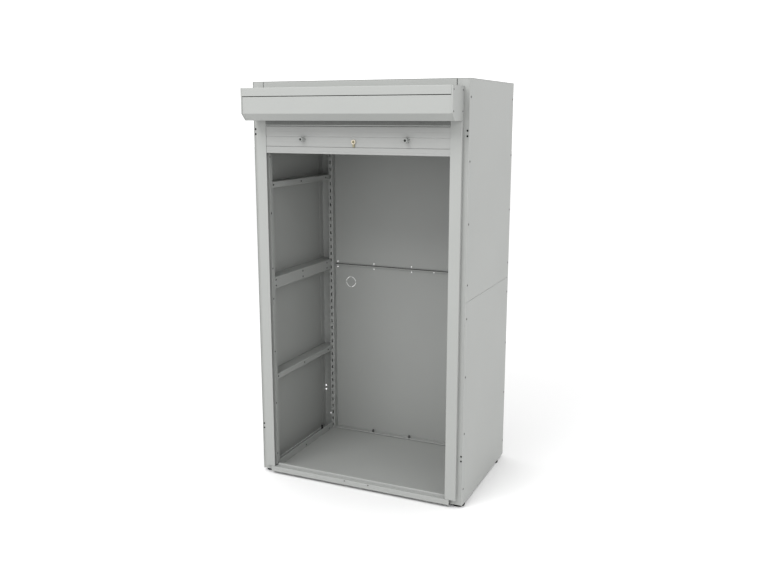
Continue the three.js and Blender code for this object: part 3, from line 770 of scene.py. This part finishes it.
# %% Side panels, roof and floor
SCREW_RADIUS = 5.4
PANEL_RETURN = 4.0
FRONT_SCREW_Y = 15.0
REAR_SCREW_INSET = 10.0
for name, side in SIDES:
    for part in ("lower", "upper"):
        node = "side_panel_" + part + "_" + name
        low, high = drawing_box(node)
        middle_x = side * (BODY_HALF - PANEL_SHEET / 2)
        return_y = low.y - PANEL_SHEET / 2 - 0.3
        panel_line = [(middle_x - side * PANEL_RETURN, return_y), (middle_x, return_y), (middle_x, high.y)]
        piece = sweep(node + "_sheet", folded(panel_line, PANEL_SHEET, 2.4), "Z", low.z, high.z)
        levels = [level for level in screw_levels if low.z < level < high.z]
        places = [(y, level) for level in levels for y in (FRONT_SCREW_Y, BODY_DEPTH - REAR_SCREW_INSET)]
        holes = [circle(y, z, SCREW_RADIUS + 0.5) for y, z in places]
        punch(piece, holes, "X", *sorted((side * (BODY_HALF - 4), side * (BODY_HALF + 4))))
        paint_sheet(piece, node, width=0.5)
        starts = [(side * (BODY_HALF - 1.5), y, z) for y, z in places]
        black_screws("side_screws_" + part + "_" + name, starts, (side, 0, 0), SCREW_RADIUS, 1.1)
for node, stem in (("roof_panel", "roof"), ("floor_tray", "floor")):
    low, high = drawing_box(node)
    piece = sweep(stem + "_sheet", rectangle(low.x, low.y, high.x, high.y), "Z", low.z, high.z)
    paint_sheet(piece, node, width=0.6)
print("side panels: 4, with", 4 * len(screw_levels), "screws")

# %% [markdown]
# ## Back panels
# The two back panels meet at half height, where each folds into the cabinet to stay straight. Small holes
# run along the seam, a near-black strip in the open gap paints the seam's shadow line, and one round
# knock-out
# waits for a cable gland: a ring slit that is bridged by four tabs. The slit is four arcs, so that the disc
# truly hangs on its tabs.

# %% Back panels
SEAM_FLANGE = 12.0
HOLE_PITCH, HOLE_SHIFT = 230.0, 2.0
SEAM_HOLE, SEAM_HOLE_OFFSET, SEAM_HOLE_DROP = 3.5, 15.0, 2.5
ODD_HOLE = (136.0, SEAM - 10.0)  # one hole out of line
SEAM_OPEN, SEAM_LIP = 2.0, 5.5
KNOCKOUT = (-374.0, SEAM - 102.0)
KNOCKOUT_RADIUS, KNOCKOUT_SLIT, KNOCKOUT_TAB = 29.0, 2.0, 14.0
columns = [i * HOLE_PITCH + HOLE_SHIFT for i in range(-2, 3)]


def ring_slits(x, z):
    """Four arcs of a ring, with tabs between them."""
    slits = []
    for quarter in range(4):
        start = math.radians(quarter * 90 + KNOCKOUT_TAB / 2)
        end = math.radians(quarter * 90 + 90 - KNOCKOUT_TAB / 2)
        arcs = []
        for radius in (KNOCKOUT_RADIUS + KNOCKOUT_SLIT / 2, KNOCKOUT_RADIUS - KNOCKOUT_SLIT / 2):
            angles = [start + (end - start) * i / 10 for i in range(11)]
            arcs.append([(x + radius * math.cos(a), z + radius * math.sin(a)) for a in angles])
        slits.append(arcs[0] + arcs[1][::-1])
    return slits


middle_y = BODY_DEPTH - PANEL_SHEET / 2
flange_reach = HAT_X - FRAME_SHEET / 2 - 1
for part in ("lower", "upper"):
    node = "back_panel_" + part
    low, high = drawing_box(node)
    depth_low = BODY_DEPTH - PANEL_SHEET - SEAM_FLANGE
    bottom_y = low.y if part == "lower" else depth_low
    bottom_z = FRAME_SHEET - PANEL_SHEET / 2 if part == "lower" else low.z + PANEL_SHEET / 2
    line = [
        (bottom_y, bottom_z),
        (middle_y, bottom_z),
        (middle_y, high.z - PANEL_SHEET / 2),
        (depth_low, high.z - PANEL_SHEET / 2),
    ]
    if part == "lower":
        line.append((depth_low, high.z - SEAM_LIP))
    else:
        line[0] = (bottom_y + 4, bottom_z + SEAM_OPEN)
        line[1] = (middle_y, bottom_z + SEAM_OPEN)
    piece = sweep(node + "_sheet", folded(line, PANEL_SHEET, 1.8), "X", low.x, high.x)
    for side in (-1, 1):
        ends = sorted((side * flange_reach, side * (high.x + 5)))
        notch = rectangle(ends[0], low.z - 5, ends[1], high.z + 5)
        punch(piece, [notch], "Y", low.y - 5, BODY_DEPTH - PANEL_SHEET - 0.05)
    hole_z = SEAM - SEAM_HOLE_DROP + (SEAM_HOLE_OFFSET if part == "upper" else -SEAM_HOLE_OFFSET)
    holes = [circle(x, hole_z, SEAM_HOLE) for x in columns]
    if part == "lower":
        holes += [circle(*ODD_HOLE, SEAM_HOLE)] + ring_slits(*KNOCKOUT)
    punch(piece, holes, "Y", BODY_DEPTH - 5, BODY_DEPTH + 5)
    paint_sheet(piece, node)
# The strip in the seam's gap is painted shade: it is near-black so that it draws the dark seam line.
seam_shade_z = drawing_box("back_panel_upper")[0].z
seam_shade = rectangle(depth_low + 2, seam_shade_z, middle_y - 1, seam_shade_z + SEAM_OPEN - 0.1)
piece = sweep("seam_shade_strip", seam_shade, "X", -flange_reach, flange_reach)
dress(soften(piece, 0.3), BLACK_PLASTIC_AND_SHADE)
print("back panels:", len(columns), "hole columns; knock-out", 2 * KNOCKOUT_RADIUS, "mm")

# %% Clamp strip and pillars along the back of the floor
STRIP_LEVEL = 8.0
floor_top = drawing_box("floor_tray")[1].z
clamp_line = [
    (HAT_FACE + 1.5, floor_top + 0.3),
    (HAT_FACE + 1.5, STRIP_LEVEL),
    (BODY_DEPTH - PANEL_SHEET - 1.5, STRIP_LEVEL),
]
clamp_end = HAT_X - FRAME_SHEET
piece = sweep("floor_clamp_strip", folded(clamp_line, FRAME_SHEET, 1.6), "X", -clamp_end, clamp_end)
paint_sheet(piece)
pillars = []
PILLAR_HEIGHT, PILLAR_RADIUS = 12.3, 6.6
for x in columns[1:4]:
    start = (x, HAT_FACE + 18, STRIP_LEVEL + FRAME_SHEET / 2)
    edge = PILLAR_RADIUS - 0.6
    pillar = [(0, 0.1), (edge, 0.1), (PILLAR_RADIUS, 0.8), (PILLAR_RADIUS, PILLAR_HEIGHT - 0.7)]
    pillar += [(edge, PILLAR_HEIGHT), (0, PILLAR_HEIGHT)]
    pillars.append(turned_mesh("pillar", pillar, start, (0, 0, 1), 6))
    stud = [(0, 12.4), (4.2, 12.4), (4.6, 13.0), (4.6, 14.2), (3.8, 15), (0, 15)]
    pillars.append(turned_mesh("stud", stud, start, (0, 0, 1), 20))
dress(smooth(merge("floor_pillars", pillars)), BOLT_STEEL)
print("floor pillars:", len(pillars) // 2)

# %% Tabs at the foot of the slotted strips
tabs = []
for name, side in SIDES:
    tab_line = [(HAT_FACE - 1.4, 14), (HAT_FACE - 1.4, 11), (HAT_FACE - 9, 5.6)]
    ends = sorted((side * (HAT_X + 1), side * (STRIP_X - FRAME_SHEET)))
    tabs.append(prism_mesh("tab", [folded(tab_line, FRAME_SHEET, 1.2)], "X", *ends))
paint_sheet(merge("strip_tabs", tabs))
print("strip tabs:", len(tabs))

# %% [markdown]
# ## Shutter box
# The box over the door hides the rolled curtain. Its top cover comes down in front as a narrow strip, and
# the lower cover tucks up behind it, which leaves one fine seam. Each is a bent sheet, and a cast plate
# with a thin rim closes each end.

# %% Shutter box
top_cover = drawing_box("box_top_cover")
box_front = top_cover[0].y + GUIDE_SHEET / 2
top_line = [
    (top_cover[1].y, BOX_TOP - GUIDE_SHEET / 2),
    (box_front, BOX_TOP - GUIDE_SHEET / 2),
    (box_front, top_cover[0].z),
]
CAP_LIP = 7.0
BOX_HALF = drawing_box("box_end_right")[1].x
cover_ends = (CAP_LIP + 0.4 - BOX_HALF, BOX_HALF - CAP_LIP - 0.4)
piece = sweep("box_top_sheet", folded(top_line, GUIDE_SHEET, 1.8), "X", *cover_ends)
paint_sheet(piece, "box_top_cover")
RIVET_X, RIVET_DROP = 505.5, 23.0
places = [(x, top_cover[0].y + 0.4, BOX_TOP - RIVET_DROP) for x in (-RIVET_X, RIVET_X)]
black_screws("box_strip_rivets", places, (0, -1, 0), 2.6, 0.35)

low_cover = drawing_box("box_front_cover")
CHAMFER = 33.0
cover_front = low_cover[0].y + GUIDE_SHEET / 2
cover_back = low_cover[1].y - GUIDE_SHEET / 2
SEAM_GAP = 3.0  # the open line under the strip of the top cover
seam_edge = top_cover[0].z - SEAM_GAP - GUIDE_SHEET / 2
low_line = [
    (cover_front + 10, seam_edge),
    (cover_front, seam_edge),
    (cover_front, BOX_BOTTOM + CHAMFER - 1),
    (cover_front + CHAMFER - 1, BOX_BOTTOM + GUIDE_SHEET / 2),
    (cover_back, BOX_BOTTOM + GUIDE_SHEET / 2),
    (cover_back, BOX_BOTTOM + 14),
]
piece = sweep("box_front_sheet", folded(low_line, GUIDE_SHEET, 1.8), "X", *cover_ends)
paint_sheet(piece, "box_front_cover")

CAP_WALL, CAP_PLATE = 2.0, 3.0
CAP_SCREW, CAP_RECESS = 3.8, 4.4
CAP_SCREW_FRONT, CAP_SCREW_REAR = 15.5, 13.5
CAP_SCREW_LOW, CAP_SCREW_TOP = 41.0, 18.0


def cap_outline(low, high, inset):
    """The box's end outline in (y, z), drawn in by a wall's thickness."""
    corner = CHAMFER + inset * 0.4
    return [
        (low.y + inset, low.z + corner),
        (low.y + corner, low.z + inset),
        (high.y - inset, low.z + inset),
        (high.y - inset, high.z - inset),
        (low.y + inset, high.z - inset),
    ]


for name, side in SIDES:
    low, high = drawing_box("box_end_" + name)
    outer = side * BOX_HALF
    ends = sorted((outer, outer - side * CAP_LIP))
    piece = sweep("box_end_cap_" + name, cap_outline(low, high, 0), "X", *ends)
    hollow = sorted((outer - side * CAP_PLATE, outer - side * (CAP_LIP + 2)))
    punch(piece, [cap_outline(low, high, CAP_WALL)], "X", *hollow)
    screw_y = (low.y + CAP_SCREW_FRONT, high.y - CAP_SCREW_REAR)
    places = [(y, z) for y in screw_y for z in (low.z + CAP_SCREW_LOW, high.z - CAP_SCREW_TOP)]
    recess = sorted((outer - side * 1.4, outer + side * 2))
    punch(piece, [circle(y, z, CAP_RECESS) for y, z in places], "X", *recess)
    paint_sheet(piece, "box_end_" + name, width=0.6, segments=3)
    starts = [(outer - side * 1.3, y, z) for y, z in places]
    black_screws("box_end_screws_" + name, starts, (side, 0, 0), CAP_SCREW, 1.0)
print("shutter box", round(BOX_TOP - BOX_BOTTOM), "mm high with a", CHAMFER, "mm chamfer")

# %% [markdown]
# ## Outlet seal
# The slot where the curtain leaves the box has a brush that keeps rain and insects out, with a rounded bead
# and under it a thin near-black strip that paints the shadow line between the bead and the curtain. Real
# bristles would be thousands of hairs that nobody could tell apart from a cabinet's length away, so the
# brush is a strip with a bristle grain. The bead is its own rounded piece.

# %% Outlet seal
seal = drawing_box("outlet_seal")
BEAD_RADIUS, BEAD_DEPTH = 2.5, 3.4
LIP_HEIGHT = 1.8
bead_z = seal[0].z + LIP_HEIGHT + BEAD_RADIUS
brush_outline = [
    (seal[0].y + 0.6, seal[1].z),
    (seal[0].y + 0.3, (seal[0].z + seal[1].z) / 2),
    (seal[0].y + 0.9, bead_z + BEAD_RADIUS + 0.1),
    (seal[1].y - 0.2, bead_z + BEAD_RADIUS + 0.1),
    (seal[1].y, seal[1].z),
]
piece = sweep("seal_brush_strip", brush_outline, "X", seal[0].x, seal[1].x)
dress(soften(piece, 0.2), BRUSH, stands_for=["outlet_seal"])
bead = upright_slot(seal[0].y + BEAD_DEPTH / 2, bead_z, BEAD_DEPTH, 2 * BEAD_RADIUS)
piece = sweep("seal_bead_strip", bead, "X", seal[0].x, seal[1].x)
dress(smooth(piece), BEAD)
# A near-black strip under the bead: painted shadow line between the bead and the curtain.
lip = rectangle(seal[0].y + 2.2, seal[0].z, seal[0].y + 3.6, bead_z - BEAD_RADIUS - 0.1)
piece = sweep("seal_shadow_line_strip", lip, "X", seal[0].x, seal[1].x)
dress(soften(piece, 0.3), BLACK_PLASTIC_AND_SHADE)
print("outlet seal", round(seal[1].z - seal[0].z, 1), "mm deep")

# %% [markdown]
# ## Guides
# The curtain runs in two channels on the front flanges. Each is a folded section that is open towards the
# door, and its lips also hide the curtain's ends.

# %% Guide rails
for name, side in SIDES:
    low, high = drawing_box("guide_rail_" + name)
    inner = min(abs(low.x), abs(high.x))
    outer = max(abs(low.x), abs(high.x))
    back = high.y - GUIDE_SHEET / 2
    line = [
        (inner, low.y + GUIDE_SHEET / 2),
        (outer - GUIDE_SHEET / 2, low.y + GUIDE_SHEET / 2),
        (outer - GUIDE_SHEET / 2, -0.3 - GUIDE_SHEET / 2),
        (FLANGE_INNER - 0.3 - GUIDE_SHEET / 2, -0.3 - GUIDE_SHEET / 2),
        (FLANGE_INNER - 0.3 - GUIDE_SHEET / 2, back),
        (inner, back),
    ]
    piece = sweep("guide_sheet_" + name, folded(mirrored(line, side), GUIDE_SHEET, 1.6), "Z", low.z, high.z)
    paint_sheet(piece, "guide_rail_" + name)
print("guides", round(outer - inner, 1), "mm wide")

# %% [markdown]
# ## Slats
# A shutter slat is a roll-formed aluminium profile with a slightly crowned face and a rounded hook at each
# joint, which catches the light as a thin line. One flat plate with drawn lines would have no highlight,
# so each face is an arc and each joint is a real groove. The same profile makes the hidden sections.

# %% Slat profile
SLAT_PITCH = 48.7


def crowned_face(front, bottom, top, crown, groove, steps=8):
    """The front edge of one slat's section: a shallow arc with a fine middle line, between round grooves."""
    points = [(front + crown + groove, bottom)]
    for i in range(steps + 1):
        share = i / steps
        height = bottom + groove + (top - bottom - 2 * groove) * share
        face = front + crown * (2 * share - 1) ** 2
        if i == steps / 2:
            points += [(face, height - 0.9), (face + groove / 3, height), (face, height + 0.9)]
        else:
            points.append((face, height))
    points.append((front + crown + groove, top))
    return points


def slat_section(front, back, edges, crown, groove):
    """The section of a run of slats between these levels, from bottom to top."""
    outline = []
    for bottom, top in zip(edges, edges[1:]):
        outline += crowned_face(front, bottom, top, crown, groove)
    unique = [outline[0]]
    for point in outline[1:]:
        if (Vector(point) - Vector(unique[-1])).length > 0.01:
            unique.append(point)
    return unique + [(back, edges[-1]), (back, edges[0])]


slats = drawing_box("front_slats")
bar = drawing_box("bottom_bar")
lead_edges = [slats[0].z + i * SLAT_PITCH for i in range(3)] + [slats[1].z]
section = slat_section(slats[0].y, slats[1].y, lead_edges, 0.6, 1.6)
piece = sweep("lead_slats", section, "X", slats[0].x, slats[1].x)

# %% Cut-outs in the leading slats
lock = drawing_box("lock_body")
LOCK_RADIUS, LOCK_TAIL = 8.5, 10.0
LOCK_Z = lock[1].z - LOCK_RADIUS


def lock_outline(clearance, steps=28):
    """A euro profile: a circle with a narrow tail."""
    radius = LOCK_RADIUS + clearance
    reach = LOCK_TAIL / 2 + clearance
    start = math.asin(reach / radius) - math.pi / 2
    angles = [start + (math.pi - 2 * start) * i / steps for i in range(steps + 1)]
    points = [(radius * math.cos(a), LOCK_Z + radius * math.sin(a)) for a in angles]
    corner = 2.0
    bottom = lock[0].z - clearance
    for centre_x, begin in ((-reach + corner, math.pi), (reach - corner, 1.5 * math.pi)):
        for i in range(5):
            angle = begin + math.pi / 2 * i / 4
            points.append((centre_x + corner * math.cos(angle), bottom + corner + corner * math.sin(angle)))
    return points


punch(piece, [lock_outline(0.3)], "Y", slats[0].y - 2, slats[1].y + 2)
bars = drawing_box("lock_bar_right")
channel = rectangle(-slats[1].x - 2, bars[0].z - 0.3, slats[1].x + 2, bars[1].z + 0.3)
punch(piece, [channel], "Y", bars[0].y - 0.3, slats[1].y + 2)
dress(soften(piece, 0.15, 1, 55), SLAT_PAINT, "curtain", ["front_slats"])

# %% Bottom bar and hidden sections
bar_face = [
    (bar[0].y + 2.2, bar[0].z),
    (bar[0].y + 0.4, bar[0].z + 0.8),
    (bar[0].y, bar[0].z + 2.6),
    (bar[0].y, bar[0].z + 9.0),
    (bar[0].y + 0.7, bar[0].z + 9.7),
    (bar[0].y + 0.7, bar[0].z + 11.0),
    (bar[0].y, bar[0].z + 11.7),
    (bar[0].y, bar[1].z - 0.8),
    (bar[0].y + 1.4, bar[1].z),
]
bar_back = [(bar[1].y, bar[1].z), (bar[1].y, bar[0].z + 1.5), (bar[1].y - 1.5, bar[0].z)]
piece = sweep("bottom_bar_profile", bar_face + bar_back, "X", bar[0].x, bar[1].x)
dress(soften(piece, 0.25), SLAT_PAINT, "curtain", ["bottom_bar"])

hidden = [name for name in frame["nodes"] if name.startswith("curtain_")]
for node in sorted(hidden):
    low, high = drawing_box(node)
    lap = (high.z - low.z) % SLAT_PITCH
    edges = [low.z, low.z + lap]
    while edges[-1] + SLAT_PITCH < high.z + 0.1:
        edges.append(edges[-1] + SLAT_PITCH)
    section = slat_section(low.y, high.y, edges, 0.3, 0.45)
    piece = sweep(node.replace("curtain_", "slats_"), section, "X", low.x, high.x)
    body = frame["nodes"][node]["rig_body"]
    dress(smooth(piece, 30), SLAT_PAINT, body, [node])
print("hidden sections:", len(hidden))

# %% [markdown]
# ## Lock and stoppers
# The lock is a euro-profile half cylinder of brass: its round part holds the turning plug and the tail
# fills the rest of the cut-out. Two buffers on the front stop the curtain when it meets the box, and each
# has a bore for its screw. The bore shows as a dark ring, so it is a real hole.

# %% Lock
# The case and plug take the darker brass, which paints the shade on them; the collar takes the lighter, lit
# brass.
body_piece = sweep("lock_case", lock_outline(0), "Y", lock[0].y, lock[1].y)
plug = drawing_box("lock_plug")
PLUG_RADIUS = 6.5
COLLAR_RADIUS, COLLAR_HEIGHT = 10.6, 1.6
collar_ends = (lock[0].y - COLLAR_HEIGHT, lock[0].y - 0.1)
collar = sweep("lock_collar", circle(0, LOCK_Z, COLLAR_RADIUS, 40), "Y", *collar_ends)
punch(collar, [circle(0, LOCK_Z, PLUG_RADIUS + 0.4, 40)], "Y", lock[0].y - 3, lock[0].y + 3)
dress(soften(collar, 0.6, 3), LIT_COLLAR_BRASS, "curtain")
punch(body_piece, [circle(0, LOCK_Z, PLUG_RADIUS + 0.3, 32)], "Y", lock[0].y - 3, lock[1].y + 3)
dress(soften(body_piece, 0.4), SHADED_LOCK_BRASS, "curtain", ["lock_body"])
plug_piece = sweep("lock_plug_core", circle(0, LOCK_Z, PLUG_RADIUS, 32), "Y", plug[0].y, plug[1].y)
keyway = [
    (-0.9, LOCK_Z - 4.5), (0.9, LOCK_Z - 4.5), (0.9, LOCK_Z - 1.5), (1.5, LOCK_Z - 0.9),
    (1.5, LOCK_Z + 0.2), (0.9, LOCK_Z + 0.8), (0.9, LOCK_Z + 4.5), (-0.9, LOCK_Z + 4.5),
    (-0.9, LOCK_Z + 2.2), (-0.3, LOCK_Z + 1.6), (-0.3, LOCK_Z + 0.6), (-0.9, LOCK_Z),
]
punch(plug_piece, [keyway], "Y", plug[0].y - 2, plug[0].y + 8)
dress(soften(plug_piece, 0.25), SHADED_LOCK_BRASS, "lock", ["lock_plug"])
print("lock at", round(LOCK_Z), "mm, case", [round(v / MM, 1) for v in body_piece.dimensions])

# %% Stoppers
STOPPER_BORE, BORE_FLOOR = 6.2, 8.0
for name, side in SIDES:
    low, high = drawing_box("stopper_" + name)
    centre = ((low.x + high.x) / 2, high.y, (low.z + high.z) / 2)
    length = high.y - low.y
    rim = (high.x - low.x) / 2
    profile = [
        (0, 0), (rim - 0.5, 0), (rim, 0.5), (rim, 2.6), (rim - 0.7, 3.4), (rim - 0.9, 8),
        (rim - 1.2, length - 2.4), (rim - 1.8, length - 0.9), (rim - 3.0, length),
        (STOPPER_BORE + 0.4, length), (STOPPER_BORE, length - 0.4), (STOPPER_BORE, BORE_FLOOR),
        (0, BORE_FLOOR),
    ]
    mesh = turned_mesh("stopper", profile, centre, (0, -1, 0), 40)
    piece = smooth(link("stopper_moulding_" + name, mesh), 40)
    dress(piece, STOPPER_PLASTIC, "curtain", ["stopper_" + name])
    head = [(0, 0), (5.2, 0), (5.2, 1.4), (4.6, 1.9), (1.8, 1.9), (1.5, 0.9), (0, 0.8)]
    screw_at = (centre[0], high.y - 8.3, centre[2])
    screw = link("stopper_screw_" + name, turned_mesh("head", head, screw_at, (0, -1, 0), 24))
    dress(smooth(screw), SCREW_STEEL_AND_SHADE, "curtain")
print("stoppers", round(length), "mm long")

# %% [markdown]
# ## Levelling feet
# Each corner stands on a moulded disc with a threaded stem. The real thread is a helix, but with so fine a
# pitch a stack of rings looks the same and stays a closed, simple body.

# %% Feet
THREAD_PITCH = 1.75
for name, side in SIDES:
    for end in ("front", "rear"):
        node = "foot_" + end + "_" + name
        low, high = drawing_box(node)
        centre = ((low.x + high.x) / 2, (low.y + high.y) / 2, low.z)
        rim = (high.x - low.x) / 2
        profile = [
            (0, 0), (rim - 2.5, 0), (rim - 0.6, 0.8), (rim, 2.2), (rim, 8.2), (rim - 0.8, 9.6),
            (rim - 2.6, 10.4), (14, 10.8), (11, 11.0), (10, 11.4), (10, 12.6), (9.2, 13.0), (0, 13.0),
        ]
        body = frame["nodes"][node]["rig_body"]
        piece = smooth(link(node + "_moulding", turned_mesh("foot", profile, centre, (0, 0, 1), 48)), 40)
        dress(piece, BLACK_PLASTIC_AND_SHADE, body, [node])
        length = high.z - low.z
        z = 13.4
        thread = [(0, 13.1), (5.2, 13.1)]
        while z + THREAD_PITCH < length - 1:
            thread += [(5.2, z), (6.0, z + THREAD_PITCH / 2)]
            z += THREAD_PITCH
        thread += [(5.2, z), (4.6, length), (0, length)]
        stem = smooth(link(node + "_stem", turned_mesh("stem", thread, centre, (0, 0, 1), 32)), 40)
        dress(stem, SCREW_STEEL_AND_SHADE, body)
print("feet", round(2 * rim), "mm across")

# %% [markdown]
# ## Parts that keep their own shape
# The roller, its shaft and spring, the lock bars, the keepers and the foot plates are already right in the
# frame: they are plain tubes, bars and plates. They only need their finish, so their nodes stay.

# %% Finish the kept nodes
KEPT = {
    "roller_tube": ZINC, "spring_shaft": ZINC, "balance_spring": SCREW_STEEL_AND_SHADE,
    "tube_plug_left": STOPPER_PLASTIC, "tube_plug_right": STOPPER_PLASTIC,
    "lock_bar_left": ZINC, "lock_bar_right": ZINC, "keeper_left": ZINC, "keeper_right": ZINC,
    "foot_plate_left": ZINC, "foot_plate_right": ZINC,
}
for node, material in KEPT.items():
    piece = frame["nodes"][node]
    piece.data.materials.clear()
    piece.data.materials.append(material)
unfinished = [name for name, piece in frame["nodes"].items() if name not in KEPT and not piece.hide_render]
print("kept nodes:", len(KEPT), "without a new finish:", unfinished)

# %% [markdown]
# ## Floor and light
# The cabinet stands on a pale floor in a white studio. A big soft light above the front lights the door
# side most, a weaker one lifts the right side, and the white surroundings fill the rest. A hard light
# would draw shadows that sheet metal in a soft box doesn't have.

# %% Floor
floor_mesh = bpy.data.meshes.new("studio_floor")
REACH = 40.0
corners = [(-REACH, -REACH, 0), (REACH, -REACH, 0), (REACH, REACH, 0), (-REACH, REACH, 0)]
floor_mesh.from_pydata(corners, [], [(0, 1, 2, 3)])
studio_floor = link("studio_floor", floor_mesh)
floor_material, nodes, links, shader = new_material("studio_floor")
shader.inputs["Base Color"].default_value = (0.82, 0.82, 0.82, 1)
shader.inputs["Roughness"].default_value = 0.9
shader.inputs["Specular IOR Level"].default_value = 0.1
floor_mesh.materials.append(floor_material)
studio_floor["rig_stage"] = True

# %% Lights and surroundings
def soft_light(name, place, target, size, power):
    """A square area light that faces a target."""
    data = bpy.data.lights.new(name, "AREA")
    data.size = size
    data.energy = power
    lamp = bpy.data.objects.new(name, data)
    lamp.location = place
    aim = Vector(target) - Vector(place)
    lamp.rotation_euler = aim.to_track_quat("-Z", "Y").to_euler()
    bpy.context.scene.collection.objects.link(lamp)
    return lamp


soft_light("key", (-0.9, -3.3, 5.0), (0, 0, 1.0), 2.6, 142)
soft_light("corner_fill", (3.6, -3.0, 3.0), (0.3, 0, 1.0), 3.0, 27)
world = bpy.data.worlds.new("studio")
bpy.context.scene.world = world
world.use_nodes = True
surround = world.node_tree.nodes["Background"]
surround.inputs["Color"].default_value = (1, 1, 1, 1)
surround.inputs["Strength"].default_value = 1.24
bpy.context.scene.view_settings.view_transform = "Standard"
print("lights:", len(bpy.data.lights))

# %% [markdown]
# ## Size
# The frame's box and the finished box are printed side by side, so the cabinet's size before and after the
# looks can be compared.

# %% Print the sizes
visual_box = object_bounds()
sizes = {"cad": [list(corner) for corner in cad_box], "visual": [list(corner) for corner in visual_box]}
for label, box in sizes.items():
    print(label, [round(value, 4) for corner in box for value in corner])
